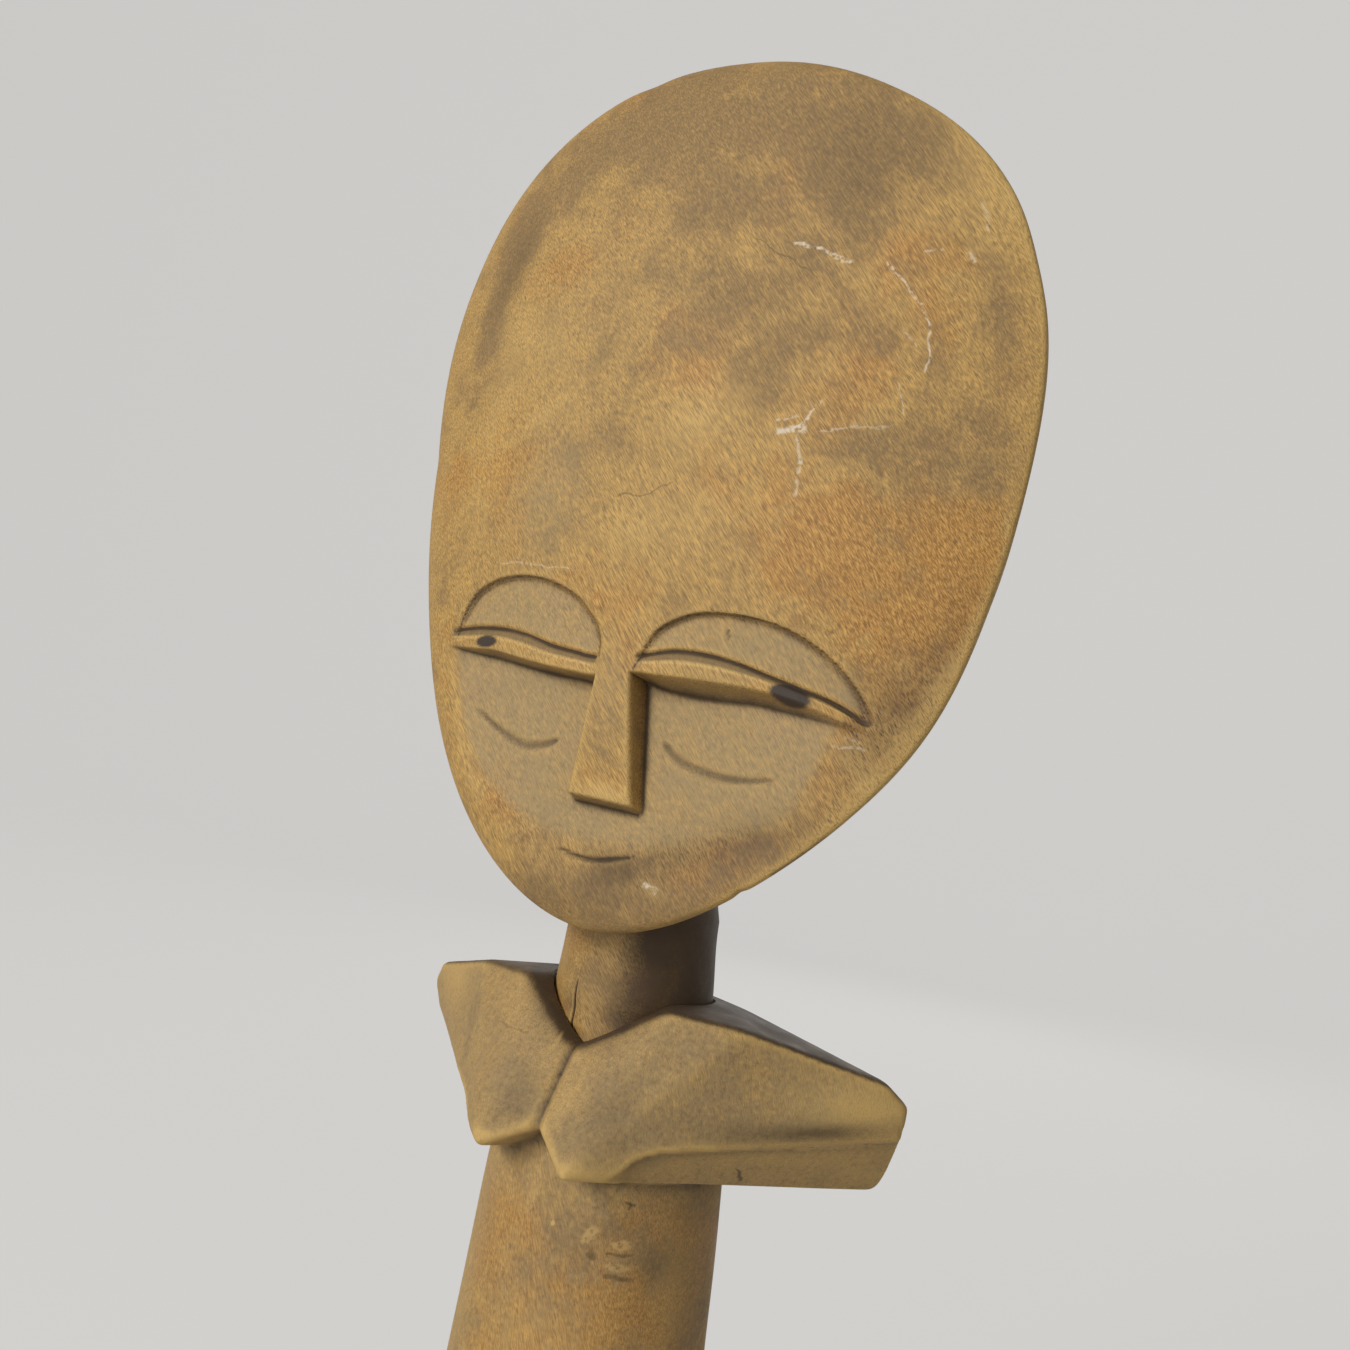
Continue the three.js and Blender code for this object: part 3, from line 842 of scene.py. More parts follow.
def dented(points):
    """Small knocks in the rim push it towards the middle of the plate."""
    middle = np.array([0.0, HEAD_HEIGHT / 2])
    flat = points[:, [0, 2]]
    for spot, depth, reach in RIM_DENTS:
        inward = (middle - spot) / np.linalg.norm(middle - spot)
        near = np.exp(-np.sum((flat - spot) ** 2, axis=1) / reach ** 2)
        points[:, [0, 2]] += depth * near[:, None] * inward
    return points


def quads(grid):
    """The four-cornered faces between the points of a grid."""
    corners = [grid[:-1, :-1], grid[:-1, 1:], grid[1:, 1:], grid[1:, :-1]]
    return np.stack(corners, axis=2).reshape(-1, 4).tolist()


def sewn_plate():
    rows, columns = sheet_x.shape
    front = np.stack([sheet_x, front_y, sheet_z], axis=2).reshape(-1, 3)
    turn = np.sin(np.pi * (np.arange(1, BACK_COLUMNS) / BACK_COLUMNS - 0.5))
    rim_z = sheet_z[:, :1]
    back_z = np.repeat(rim_z, BACK_COLUMNS - 1, axis=1)
    back_x = half_width(rim_z) * turn[None, :]
    back_y = raised(back_x, back_z, BACK_CROWN, 1.0, BACK_POWER, BACK_POWER)
    back_y = back_y + BACK_WAVES * hand_waves(back_x + 40, back_z)
    back = np.stack([back_x, back_y, back_z], axis=2).reshape(-1, 3)
    ends = np.array([[0, 0, 0], [0, 0, HEAD_HEIGHT]], dtype=float)
    points = np.concatenate([front, back, ends])
    chin = len(points) - 2
    top = len(points) - 1
    front_grid = np.arange(rows * columns).reshape(rows, columns)
    back_grid = np.arange(back_x.size).reshape(rows, -1) + front_grid.size
    back_grid = np.hstack([front_grid[:, :1], back_grid, front_grid[:, -1:]])
    faces = []
    for grid, way in ((front_grid, 1), (back_grid, -1)):
        lowest = grid[0].tolist()
        highest = grid[-1].tolist()
        fans = [[chin, b, a] for a, b in zip(lowest, lowest[1:])]
        fans += [[a, b, top] for a, b in zip(highest, highest[1:])]
        faces += [face[::way] for face in quads(grid) + fans]
    return grid_mesh("plate", head_to_doll(dented(uneven(points))) * MM, faces)


plate = sewn_plate()
print("plate:", len(plate.vertices), "points", len(plate.polygons), "faces")

# %% [markdown]
# The neck is one with the head: a stub that stands in the body's seat, with a rounded lip, a
# drying crack and a small chip at the front, and a nape that leans into the back of the plate.
# It is a tube of rings, and its hole takes the peg.

# %% Neck
CRACK_AT = math.radians(-15.5)
CRACK_HALF = 0.016
CRACK_WANDER = 0.012
CRACK_DEPTH = 0.7
CRACK_TOP = (193, 198)
CHIP_AT = math.radians(-15)
CHIP_HALF = 0.13
CHIP_DEPTH = 1.1
LIP = 0.8
NECK_WAIST = 1.5
NAPE_FROM = 212.0
NAPE_TOP = 279.0
NAPE_TIP = 5.5
NAPE_LEAN = -13.2
HOLE_RINGS = 8


def neck_outline():
    """Rings from the top of the peg hole, round the foot, up to the nape: radius, height, lean."""
    hole_top = NECK_FOOT + PEG_IN_HEAD + FIT_GAP
    rings = [(0.01, hole_top, 0.0), (PEG_HOLE * 0.5, hole_top, 0.0), (PEG_HOLE, hole_top, 0.0)]
    rings += [(PEG_HOLE, z, 0.0) for z in np.linspace(hole_top - 5, NECK_FOOT + LIP, 5)]
    rings += [(PEG_HOLE + 0.5, NECK_FOOT, 0.0)]
    rings += [(r, NECK_FOOT, 0.0) for r in np.linspace(PEG_HOLE + 2, NECK_RADIUS - LIP, 8)]
    for turn in np.radians(np.linspace(-75, 0, 6)):
        across = NECK_RADIUS - LIP + LIP * math.cos(turn)
        rings.append((across, NECK_FOOT + LIP + LIP * math.sin(turn), 0.0))
    for z in np.linspace(NECK_FOOT + 1.3, NAPE_FROM, 40):
        waist = NECK_WAIST * step(186, NAPE_FROM, z) + 0.35 * math.exp(-((z - 190.5) / 2.6) ** 2)
        rings.append((NECK_RADIUS - waist, z, 0.0))
    nape_radius = NECK_RADIUS - NECK_WAIST
    for share in np.linspace(0.05, 1, 24):
        z = NAPE_FROM + (NAPE_TOP - NAPE_FROM) * share
        rings.append((nape_radius - (nape_radius - NAPE_TIP) * share, z, NAPE_LEAN * share))
    for turn in np.radians(np.linspace(20, 88, 5)):
        rings.append((NAPE_TIP * math.cos(turn), NAPE_TOP + NAPE_TIP * math.sin(turn), NAPE_LEAN))
    rings.append((0.01, NAPE_TOP + NAPE_TIP, NAPE_LEAN))
    return np.array(rings)


def neck_angles():
    """Turns of the neck's columns, close together where the crack is."""
    even = np.radians(np.arange(-180, 180, 3.6))
    fine = CRACK_AT + np.radians(np.arange(-5, 5.1, 0.4))
    away = np.abs(even[:, None] - fine[None, :]).min(axis=1) > math.radians(1.0)
    return np.sort(np.concatenate([even[away], fine]))


def turn_from(middle, angle):
    """The turn from a middle to an angle, at most half a turn either way."""
    return (angle - middle + math.pi) % (2 * math.pi) - math.pi


def crack_share(angle, height):
    """1 along the drying crack, which wanders a little on its way up and runs out at the top."""
    away = turn_from(CRACK_AT, angle) + CRACK_WANDER * np.sin(height / 1.7)
    return np.exp(-(away / CRACK_HALF) ** 2) * (1 - step(*CRACK_TOP, height))


def chip_share(angle, height, up, tall):
    """1 in the middle of the chip, which lies some way up from the neck's foot."""
    away = turn_from(CHIP_AT, angle) / CHIP_HALF
    return np.exp(-away ** 2 - ((height - NECK_FOOT - up) / tall) ** 2)


def tube_faces(rows, columns):
    """The faces of a tube of rings, closed at both ends."""
    grid = np.arange(rows * columns).reshape(rows, columns)
    around = np.hstack([grid, grid[:, :1]])
    return quads(around) + [grid[0, ::-1].tolist(), grid[-1].tolist()]


def neck_mesh():
    rings = neck_outline()
    angle = neck_angles()[None, :]
    radius = np.repeat(rings[:, :1], angle.size, axis=1)
    height = np.repeat(rings[:, 1:2], angle.size, axis=1)
    outside = (np.arange(len(rings)) > HOLE_RINGS)[:, None] * step(9, 15, radius)
    radius = radius - CRACK_DEPTH * crack_share(angle, height) * outside * step(182, 184, height)
    radius = radius - CHIP_DEPTH * chip_share(angle, height, 1.6, 1.8) * outside
    radius = radius + 0.14 * outside * np.sin(5 * angle + height / 9) * np.sin(height / 6.0 + 1)
    x = radius * np.sin(angle)
    y = -radius * np.cos(angle) + rings[:, 2:3]
    points = np.stack([x, y, height], axis=2).reshape(-1, 3)
    return grid_mesh("neck", points * MM, tube_faces(len(rings), angle.size))


neck = neck_mesh()
print("neck:", len(neck.vertices), "points")

# %% [markdown]
# Neck and plate are one piece of wood, so an exact union makes one skin of them.

# %% Join the head
def joined(first, second, operation):
    """The exact union or difference of two closed meshes, as a plain mesh."""
    one = placed("one", first)
    two = placed("two", second)
    cut = one.modifiers.new("join", "BOOLEAN")
    cut.operation = operation
    cut.solver = "EXACT"
    cut.object = two
    mesh = baked(one)
    bpy.data.objects.remove(two)
    return mesh


head_mesh = joined(plate, neck, "UNION")
print("head:", len(head_mesh.vertices), "points", len(head_mesh.polygons), "faces")

# %% [markdown]
# The body is a column that widens to its flat base. Its sides follow a rule as well, so Geometry
# Nodes turn a plain sheet of points into the column: the radius grows down from the chest, rolls
# in at the base, and a few shallow flats run round it where the knife took long strokes.

# %% The rule of turned wood
def turned_tree():
    sizes = [
        "Low", "High", "Low Radius", "High Radius", "Top Radius", "Top Slope", "Edge", "Flats",
        "Flat Depth",
    ]
    maker, given = rule_tree("turned wood rule", sizes)
    turn, _, up = axes(maker, maker.node("GeometryNodeInputPosition"))
    z = given["Low"] + (given["High"] - given["Low"]) * up
    taper = given["Low Radius"] + (given["High Radius"] - given["Low Radius"]) * up
    cone = given["Top Radius"] + (given["High"] - z) * given["Top Slope"]
    nearest_end = (z - given["Low"]).at_most(given["High"] - z)
    inset = (1.0 - nearest_end / given["Edge"]).at_least(0.0)
    roll = given["Edge"] * (1.0 - (1.0 - inset * inset).at_least(0.0).sqrt())
    ripple = turn.sum_of("COSINE", turn * given["Flats"] + up * 3.0)
    radius = taper.at_most(cone) - roll - given["Flat Depth"] * (ripple + 1.0) * 0.5
    x = radius * turn.sum_of("SINE", turn)
    y = radius * turn.sum_of("COSINE", turn) * -1.0
    place_by_rule(maker, given, x, y, z)
    return maker


def turned_mesh(name, rule, rows, columns, sizes):
    """A closed turned piece: a sheet of turn by height, wrapped by the rule and capped."""
    up = (1 - np.cos(np.pi * np.linspace(0, 1, rows))) / 2
    turn = np.arange(columns) * 2 * math.pi / columns
    sheet = np.stack(np.broadcast_arrays(turn[None, :], 0 * turn[None, :], up[:, None]), axis=2)
    flat = grid_mesh(name, sheet.reshape(-1, 3), tube_faces(rows, columns))
    return realised(rule, flat, sizes)


turned_rule = turned_tree()
BASE_RADIUS = 34.5
CHEST_RADIUS = 25.2
column = turned_mesh("column", turned_rule, 90, 120, {
    "Low": 0.0,
    "High": SEAT_FLOOR * MM,
    "Low Radius": BASE_RADIUS * MM,
    "High Radius": CHEST_RADIUS * MM * 0.985,
    "Top Radius": (NECK_RADIUS + 0.8) * MM,
    "Top Slope": 0.44,
    "Edge": 2.5 * MM,
    "Flats": 11.0,
    "Flat Depth": 0.25 * MM,
    "Wood": body_wood,
})
print("column:", len(column.vertices), "points")

# %% [markdown]
# Each arm and breast is one wedge, carved with the column from the same wood. A convex hull over
# a few rounded corners gives the wedge, and remeshing melts wedges and column into one skin.

# %% Arms
ARM = [
    (17.2, -17.7, 5.6), (32.7, -12.4, 4.9), (43.6, -2.4, 0.8), (59.5, 9.5, -4.0), (63.2, 13.5, -8.6),
    (20.5, 3, 5.4), (18.5, 18.5, 2.4), (36, 16, -1.9), (55, 24.5, -9), (-1.5, 23.7, 3),
    (59.4, 18.4, -28.9), (50, 27, -29.3), (-1.5, 25.2, -29.5), (10.2, -25.2, -29.5),
]
NEAR_BREAST = [
    (-1.5, -17, -8), (-1.5, -23.6, -7.8), (-1.4, -31.8, -20.8), (8.7, -36.6, -28.5), (20.8, -26.1, -22.6),
    (36.6, -11.1, -19.3), (62, 15, -16.2),
]
FAR_BREAST = [
    (-1.2, -17, -8), (-1.2, -23.6, -7.8), (-1.0, -31.8, -20.8), (10.8, -36.4, -27.2), (19.2, -24.5, -22.6),
    (35, -9.5, -19.3), (61, 16, -16.6),
]
WORN_EDGE = 1.5
VOXEL = 0.85


def wedge_points(side):
    corners = np.array(ARM + (NEAR_BREAST if side > 0 else FAR_BREAST), dtype=float)
    middle = corners.mean(axis=0)
    shell = bmesh.new()
    ball = bmesh.ops.create_icosphere(shell, subdivisions=2, radius=WORN_EDGE)
    offsets = np.array([v.co for v in ball["verts"]])
    shell.free()
    inwards = middle - corners
    inwards *= (WORN_EDGE * math.sqrt(2) / np.linalg.norm(inwards, axis=1))[:, None]
    cloud = ((corners + inwards)[:, None, :] + offsets[None, :, :]).reshape(-1, 3)
    return cloud * np.array([side, 1, 1]) + np.array([0, 0, BODY_HEIGHT])


def released(shape, name):
    """A mesh of a bmesh, which is then freed."""
    mesh = bpy.data.meshes.new(name)
    shape.to_mesh(mesh)
    shape.free()
    return mesh


def rough_body():
    whole = bmesh.new()
    whole.from_mesh(column)
    for side in (-1, 1):
        part = bmesh.new()
        for point in wedge_points(side) * MM:
            part.verts.new(point)
        hull = bmesh.ops.convex_hull(part, input=part.verts)
        bmesh.ops.delete(part, geom=list(set(hull["geom_interior"])), context="VERTS")
        bmesh.ops.recalc_face_normals(part, faces=part.faces)
        whole.from_mesh(released(part, "wedge"))
    rough = placed("rough body", released(whole, "rough body"))
    remesh = rough.modifiers.new("melt", "REMESH")
    remesh.mode = "VOXEL"
    remesh.voxel_size = VOXEL * MM
    return baked(rough)


melted = rough_body()
print("melted body:", len(melted.vertices), "points")

# %% [markdown]
# Smoothing rounds the skin the way years of handling did. The knife work is put back after it:
# the facet under the fold of each arm, and the line between the breasts. Last, the seat for the
# neck and the hole for the peg are cut.

# %% Body
def edge_ends(mesh):
    flat = np.empty(len(mesh.edges) * 2, dtype=np.int32)
    mesh.edges.foreach_get("vertices", flat)
    return flat.reshape(-1, 2)


def neighbour_mean(values, ends):
    """The mean over each point's neighbours of a value, or of a row of values."""
    count = np.bincount(ends.ravel(), minlength=len(values)).astype(float)
    columns = values.reshape(len(values), -1)
    means = np.empty_like(columns)
    for i in range(columns.shape[1]):
        total = np.bincount(ends[:, 0], columns[ends[:, 1], i], len(values))
        total += np.bincount(ends[:, 1], columns[ends[:, 0], i], len(values))
        means[:, i] = total / np.maximum(count, 1)
    return means.reshape(values.shape)


def set_coordinates(mesh, points):
    mesh.vertices.foreach_set("co", points.astype(np.float32).ravel())
    mesh.update()


SMOOTHING = 3
CREASE_DEPTH = 1.3
BODY_WAVES = 1.2
ARM_FRONT = 32.4
ARM_FOLD = smooth_line([
    (-60, -29), (-17.8, -28.6), (-12, -28.7), (-7.1, -26.3), (-3.8, -23.2), (1.4, -21.4), (10.8, -20.4),
    (24.7, -18.9), (38.9, -17.3), (52, -15.7), (70, -14),
])
FACET_SLOPE = 0.62
SWEEP = math.sqrt(0.5)


def shaved_arms(points):
    """Planes the facet under the fold of each arm, which falls back as it goes down."""
    x, y, z = points.T
    side = np.where(x < 0, -1.0, 1.0)
    out = SWEEP * (np.abs(x) - y)
    along = SWEEP * (np.abs(x) + y)
    fold = BODY_HEIGHT + np.interp(along, ARM_FOLD[:, 0], ARM_FOLD[:, 1])
    reach = ARM_FRONT - FACET_SLOPE * np.maximum(fold - z, 0)
    above = step(BODY_HEIGHT - 31.5, BODY_HEIGHT - 30.0, z)
    on_arm = above * step(0.0, 0.8, fold - z) * step(26.0, 27.5, np.hypot(x, y))
    back = np.maximum(out - reach, 0) * on_arm
    points[:, 0] -= SWEEP * back * side
    points[:, 1] += SWEEP * back
    return points


def creased(points):
    """Draws the line between the breasts in, from the neck down to where they part."""
    x, y, z = points.T
    line = np.exp(-((x + 0.4) / 0.7) ** 2) * (y < -17) * between(z, 165, 169, 184.5, 186)
    points[:, 1] += CREASE_DEPTH * line
    return points


def smoothed_body(mesh):
    ends = edge_ends(mesh)
    points = coordinates(mesh) / MM
    for _ in range(SMOOTHING):
        points += 0.6 * (neighbour_mean(points, ends) - points)
    points = creased(shaved_arms(points))
    points += 0.5 * (neighbour_mean(points, ends) - points)
    x, y, z = points.T
    turn = np.arctan2(x, -y) * 25
    points[:, 0] += hand_waves(y * 1.3 + 9, z) * np.sign(x) * step(4, 14, np.abs(x)) * BODY_WAVES
    points[:, 1] += hand_waves(turn, z + 30) * np.sign(y) * step(4, 14, np.abs(y)) * BODY_WAVES
    set_coordinates(mesh, points * MM)
    return mesh


def drum(name, radius, low, high, sides=128):
    part = bmesh.new()
    sizes = {"radius1": radius * MM, "radius2": radius * MM, "depth": (high - low) * MM}
    bmesh.ops.create_cone(part, cap_ends=True, segments=sides, **sizes)
    bmesh.ops.translate(part, verts=part.verts, vec=(0, 0, (low + high) / 2 * MM))
    return released(part, name)


body_mesh = smoothed_body(melted)
seat = drum("seat", NECK_RADIUS + FIT_GAP, SEAT_FLOOR, BODY_HEIGHT + 40)
body_mesh = joined(body_mesh, seat, "DIFFERENCE")
peg_low = SEAT_FLOOR - PEG_IN_BODY - FIT_GAP
body_mesh = joined(body_mesh, drum("peg hole", PEG_HOLE, peg_low, NECK_FOOT, 64), "DIFFERENCE")
print("body:", len(body_mesh.vertices), "points", len(body_mesh.polygons), "faces")

# %% [markdown]
# The peg that pins the neck to the body is hidden until the head is lifted off. It is a dowel
# whittled round with a knife, so the same rule makes it, with more and deeper flats.

# %% Peg
peg_mesh = turned_mesh("peg", turned_rule, 60, 96, {
    "Low": (SEAT_FLOOR - PEG_IN_BODY) * MM,
    "High": (NECK_FOOT + PEG_IN_HEAD) * MM,
    "Low Radius": PEG_RADIUS * MM,
    "High Radius": PEG_RADIUS * MM,
    "Top Radius": PEG_RADIUS * MM,
    "Top Slope": 0.0,
    "Edge": 1.0 * MM,
    "Flats": 12.0,
    "Flat Depth": 0.3 * MM,
    "Wood": peg_wood,
})
print("peg:", len(peg_mesh.vertices), "points")

# %% [markdown]
# Handling polishes every raised edge pale and packs dirt into every hollow. Both can be measured:
# where a point stands out from its neighbours the edge is worn, and where it lies behind them
# dirt collects. Each piece carries the result as attributes, which its finish reads. The hidden
# peg has nothing else.

# %% Worn edges and dirty hollows
def outstanding(mesh, rounds):
    """How far each point stands out from its neighbours, as a share of their distance, blurred."""
    ends = edge_ends(mesh)
    points = coordinates(mesh)
    normals = coordinates(mesh, "normal")
    span = points[ends[:, 1]] - points[ends[:, 0]]
    length = np.linalg.norm(span, axis=1) + 1e-9
    first = np.einsum("ij,ij->i", span, normals[ends[:, 0]]) / length
    second = -np.einsum("ij,ij->i", span, normals[ends[:, 1]]) / length
    total = np.bincount(ends[:, 0], first, len(points))
    total += np.bincount(ends[:, 1], second, len(points))
    bend = -total / np.maximum(np.bincount(ends.ravel(), minlength=len(points)), 1)
    for _ in range(rounds):
        bend = 0.4 * bend + 0.6 * neighbour_mean(bend, ends)
    return bend


def give(mesh, **attributes):
    """Writes a value, or a row of values, for every point under each name."""
    for name, values in attributes.items():
        row = np.broadcast_to(np.clip(values, -1, 1), len(mesh.vertices))
        mesh.attributes.new(name, "FLOAT", "POINT").data.foreach_set("value", row.astype(np.float32))


def finish_peg(mesh):
    fine = outstanding(mesh, 2)
    give(mesh, dark=np.clip(-fine * 5, 0, 0.5), wear=np.clip(fine * 4, 0, 0.6))
    give(mesh, grey=0.0, rub=0.0, stain=0.0, line=1.0, paint=0.0)


finish_peg(peg_mesh)
print("attributes:", [a.name for a in peg_mesh.attributes if a.data_type == "FLOAT"])

# %% [markdown]
# Oil and hands have stained the front of the body in patches, laid on as soft ovals. Its top
# carries painted shadow of the head, darkest round the neck. Dust greys it all over, but less
# below the arms, where it is held.

# %% Stains of the body
def ovals(x, z, spots):
    """Soft ovals, each given as x, z, half width, half height, turn in degrees and strength."""
    total = np.zeros(x.shape)
    for across, up, wide, tall, turn, strength in spots:
        c = math.cos(math.radians(turn))
        s = math.sin(math.radians(turn))
        dx = (x - across) * c + (z - up) * s
        dz = (z - up) * c - (x - across) * s
        total += strength * np.exp(-(dx / wide) ** 2 - (dz / tall) ** 2)
    return total


BODY_STAINS = [
    (8, 166, 8, 8, 0, 0.4), (30, 172, 14, 7, 15, 0.5), (17, 145, 11, 6, 0, 0.4),
    (-12, 168, 6, 9, 0, 0.4), (14, 175, 7, 9, -20, 0.8), (22, 172.5, 7, 4, 0, 0.4),
    (-7, 172.7, 6, 7, 0, 0.6), (34, 184, 7, 4, 0, 0.25), (-30, 179, 2, 8, 0, 0.5),
    (-14, 178, 8, 6, 0, 0.4), (45, 175.5, 12, 2.5, 12, 0.7), (24, 190, 10, 5, 0, 0.5),
    (16, 150, 5, 3, 0, 0.5), (22.7, 143, 3, 6, 0, 0.6), (5, 147, 5, 6, 0, 0.5),
    (-10, 120, 12, 30, 0, 0.25), (6, 60, 20, 40, 0, 0.35), (9, 136, 8, 12, 0, 0.35),
    (13, 156, 4, 4, 0, 0.5), (-30, 186, 14, 5, 0, 0.3), (2, 155, 4, 5, 0, 0.5),
]
BODY_GRIME = [
    (49, 175.2, 9, 1.7, 8, 0.6), (36, 174, 6, 2.5, 0, 0.2), (14, 174.5, 5, 7, 0, 0.22),
    (-7, 172, 4, 5, 0, 0.22), (16, 150, 4, 2.5, 0, 0.25), (22.7, 143, 2.5, 5, 0, 0.3),
    (26, 155, 4, 5, 0, 0.25),
]
BODY_BARE = [
    (4, 122, 14, 10, 0, 0.3), (-22, 130, 5, 30, 0, 0.35), (27, 138, 3, 16, 0, 0.5),
    (40, 168, 18, 2.6, 5, 0.4), (56, 181, 8, 5, 0, 1.0), (-48, 187, 10, 6, 0, 0.7),
    (14, 163, 6, 2, 8, 0.6), (3.8, 175, 2, 7, -10, 0.35), (54, 164.5, 6, 2.5, 0, 0.35),
    (-10, 164, 5, 1.5, -15, 0.4),
]
BODY_DUST = [(54, 181, 10, 6, 0, 0.5)]


def finish_body(mesh):
    x, y, z = (coordinates(mesh) / MM).T
    normal = coordinates(mesh, "normal")
    fine = outstanding(mesh, 2)
    broad = outstanding(mesh, 8)
    front = step(0.0, 0.4, -normal[:, 1])
    # painted shadow of the head on the top of the shoulders, stronger on the right, and painted shade
    # round the foot of the neck
    head_shadow_on_top = step(0.5, 0.85, normal[:, 2]) * step(180, 186, z)
    shade_round_neck = (1 - step(18.5, 27, np.hypot(x, y))) * step(180, 187, z)
    handled = (1 - step(145, 160, z)) * step(-24, -8, x)
    dirt_and_shade = np.clip(-fine * 5, 0, 0.7) + np.clip(-broad * 4, 0, 0.5)
    # the painted shadow on the top and the painted shade round the neck join the dirt here
    dirt_and_shade += (0.7 + 0.25 * step(0, 15, x)) * head_shadow_on_top + 0.45 * shade_round_neck + ovals(x, z, BODY_GRIME) * front
    worn = np.clip(fine * 12 - 0.3, 0, 0.7) + np.clip(broad * 3, 0, 0.3)
    worn = worn * (1 - head_shadow_on_top) + ovals(x, z, BODY_BARE) * front
    grey = 0.55 - 0.3 * handled + ovals(x, z, BODY_DUST) * front
    stain = ovals(x, z, BODY_STAINS) * front + 0.3 * (1 - front)
    give(mesh, dark=dirt_and_shade, wear=worn, grey=grey, rub=0.6 * handled, stain=stain, line=1.0, paint=0.0)


finish_body(body_mesh)
print("patches on the body:", sum(map(len, (BODY_STAINS, BODY_GRIME, BODY_BARE, BODY_DUST))))

# %% [markdown]
# The head has patches as well, and the rest follows its carving: dirt and painted shade lie in
# the cut lines, painted shade lies under the lids, under the nose and on its right side, painted
# shadow of the chin and grime darken the neck, dust greys the cut cheeks and the brows, the ridge
# of each lid is rubbed bare, and the pupils are painted.

# %% Stains of the head
# the two widest ovals, high on the forehead, make it darker towards its top
HEAD_STAINS = [
    (-54, 147, 7, 13, -15, 0.8), (-57, 125, 4, 12, -10, 0.9), (-46, 117, 3, 4, 0, 0.6),
    (29, 163, 13, 15, 10, 0.6), (27, 175, 8, 3, 0, 0.6), (8, 134, 12, 8, 30, 0.45),
    (50, 104, 11, 8, -20, 0.7), (61, 137, 4, 9, 20, 0.6), (-30, 172, 16, 5, 35, 0.6),
    (54, 110, 3, 2, 0, 0.5), (-16, 138, 7, 5, 20, 0.35), (-2, 170, 42, 16, 0, 0.8),
    (4, 6, 30, 9, 6, 0.9), (-14, 21, 8, 5, -40, 0.5), (37, 24, 16, 5, 35, 0.5),
    (-57, 85, 4, 20, 0, 0.3), (64, 118, 8, 20, 0, 0.35), (0, 186, 40, 7, 0, 0.5),
    (-1, 38, 6, 7, 0, 0.5), (21, 125, 15, 14, 20, 0.55), (-2, 152, 18, 8, 10, 0.4),
    (-26, 98, 9, 7, 20, 0.35), (0, 125, 11, 6, 15, 0.4), (-25, 81, 7, 6, 0, 0.25),
]
HEAD_GRIME = [
    (56, 54, 6, 15, -27, 0.4), (26, 22, 20, 4.5, 25, 0.42), (-54, 140, 5, 14, -12, 0.35),
    (66, 76, 4, 14, -18, 0.15), (29, 166, 12, 12, 10, 0.15), (6, 14, 9, 4, 0, 0.25),
    (4, 7, 18, 5, 10, 0.2),
]
HEAD_PALE = [
    (-27, 88, 11, 15, 0, 0.6), (-25, 130, 28, 30, 0, 0.3), (-32, 38, 10, 12, 0, 0.3),
    (-2, 50, 5, 12, 0, 0.5),
]
HEAD_BARE = [
    (0, 29, 8, 2.2, 0, 0.9), (14.7, 11.7, 2.8, 1.0, -24, 1.0), (53, 44, 2.5, 5, 40, 0.4),
    (56, 161, 8, 14, 30, 0.45), (6, 108, 10, 7, 35, 0.55), (9, 87, 14, 6, 30, 0.3),
    (-48, 128, 6, 16, 15, 0.3), (-62, 80, 4, 30, 0, 0.15), (-38, 30, 4, 12, 25, 0.2),
    (-48, 97, 5, 20, 0, 0.4), (-33, 107, 10, 2.4, 40, 0.45), (-5, 84, 8, 6, 30, 0.4),
    (-36, 122, 8, 8, 0, 0.3),
]
HEAD_RUBBED = [
    (40, 123, 12, 10, 30, 0.8), (40, 84, 15, 9, 20, 1.0), (60, 80, 10, 22, -20, 1.3),
    (42, 145, 9, 8, 0, 0.7), (1, 120, 10, 8, 0, 0.4), (30, 20, 20, 4, 35, 0.7),
    (-26, 22, 5, 10, 35, 0.7), (0, 30, 9, 4, 0, 0.5),
]
PUPILS = [(37.0, 55.5, 4.4, 2.2, -8, 1.0), (-37.3, 55.0, 3.2, 1.4, 8, 1.0)]
CHIN_EDGE = smooth_line([
    (-60, 46), (-45, 38), (-30, 24), (-16, 18), (0, 17), (16, 20), (30, 26), (45, 32), (60, 42),
])


def face_level(x, z):
    """The depth of the plain face before it was carved, in mm."""
    full = fullness(x, z)
    out = x / (HEAD_WIDTH / 2)
    rightwards = step(-0.1, 0.7, out)
    forward = RIM_FORWARD * rightwards
    power = RIM_SOFT + (RIM_SHARP - RIM_SOFT) * rightwards
    rim = (RIM_HALF - forward) * np.sqrt(1 - (1 - full) ** power)
    return SIDE_BOW * out ** 2 - forward - FRONT_CROWN * full - rim


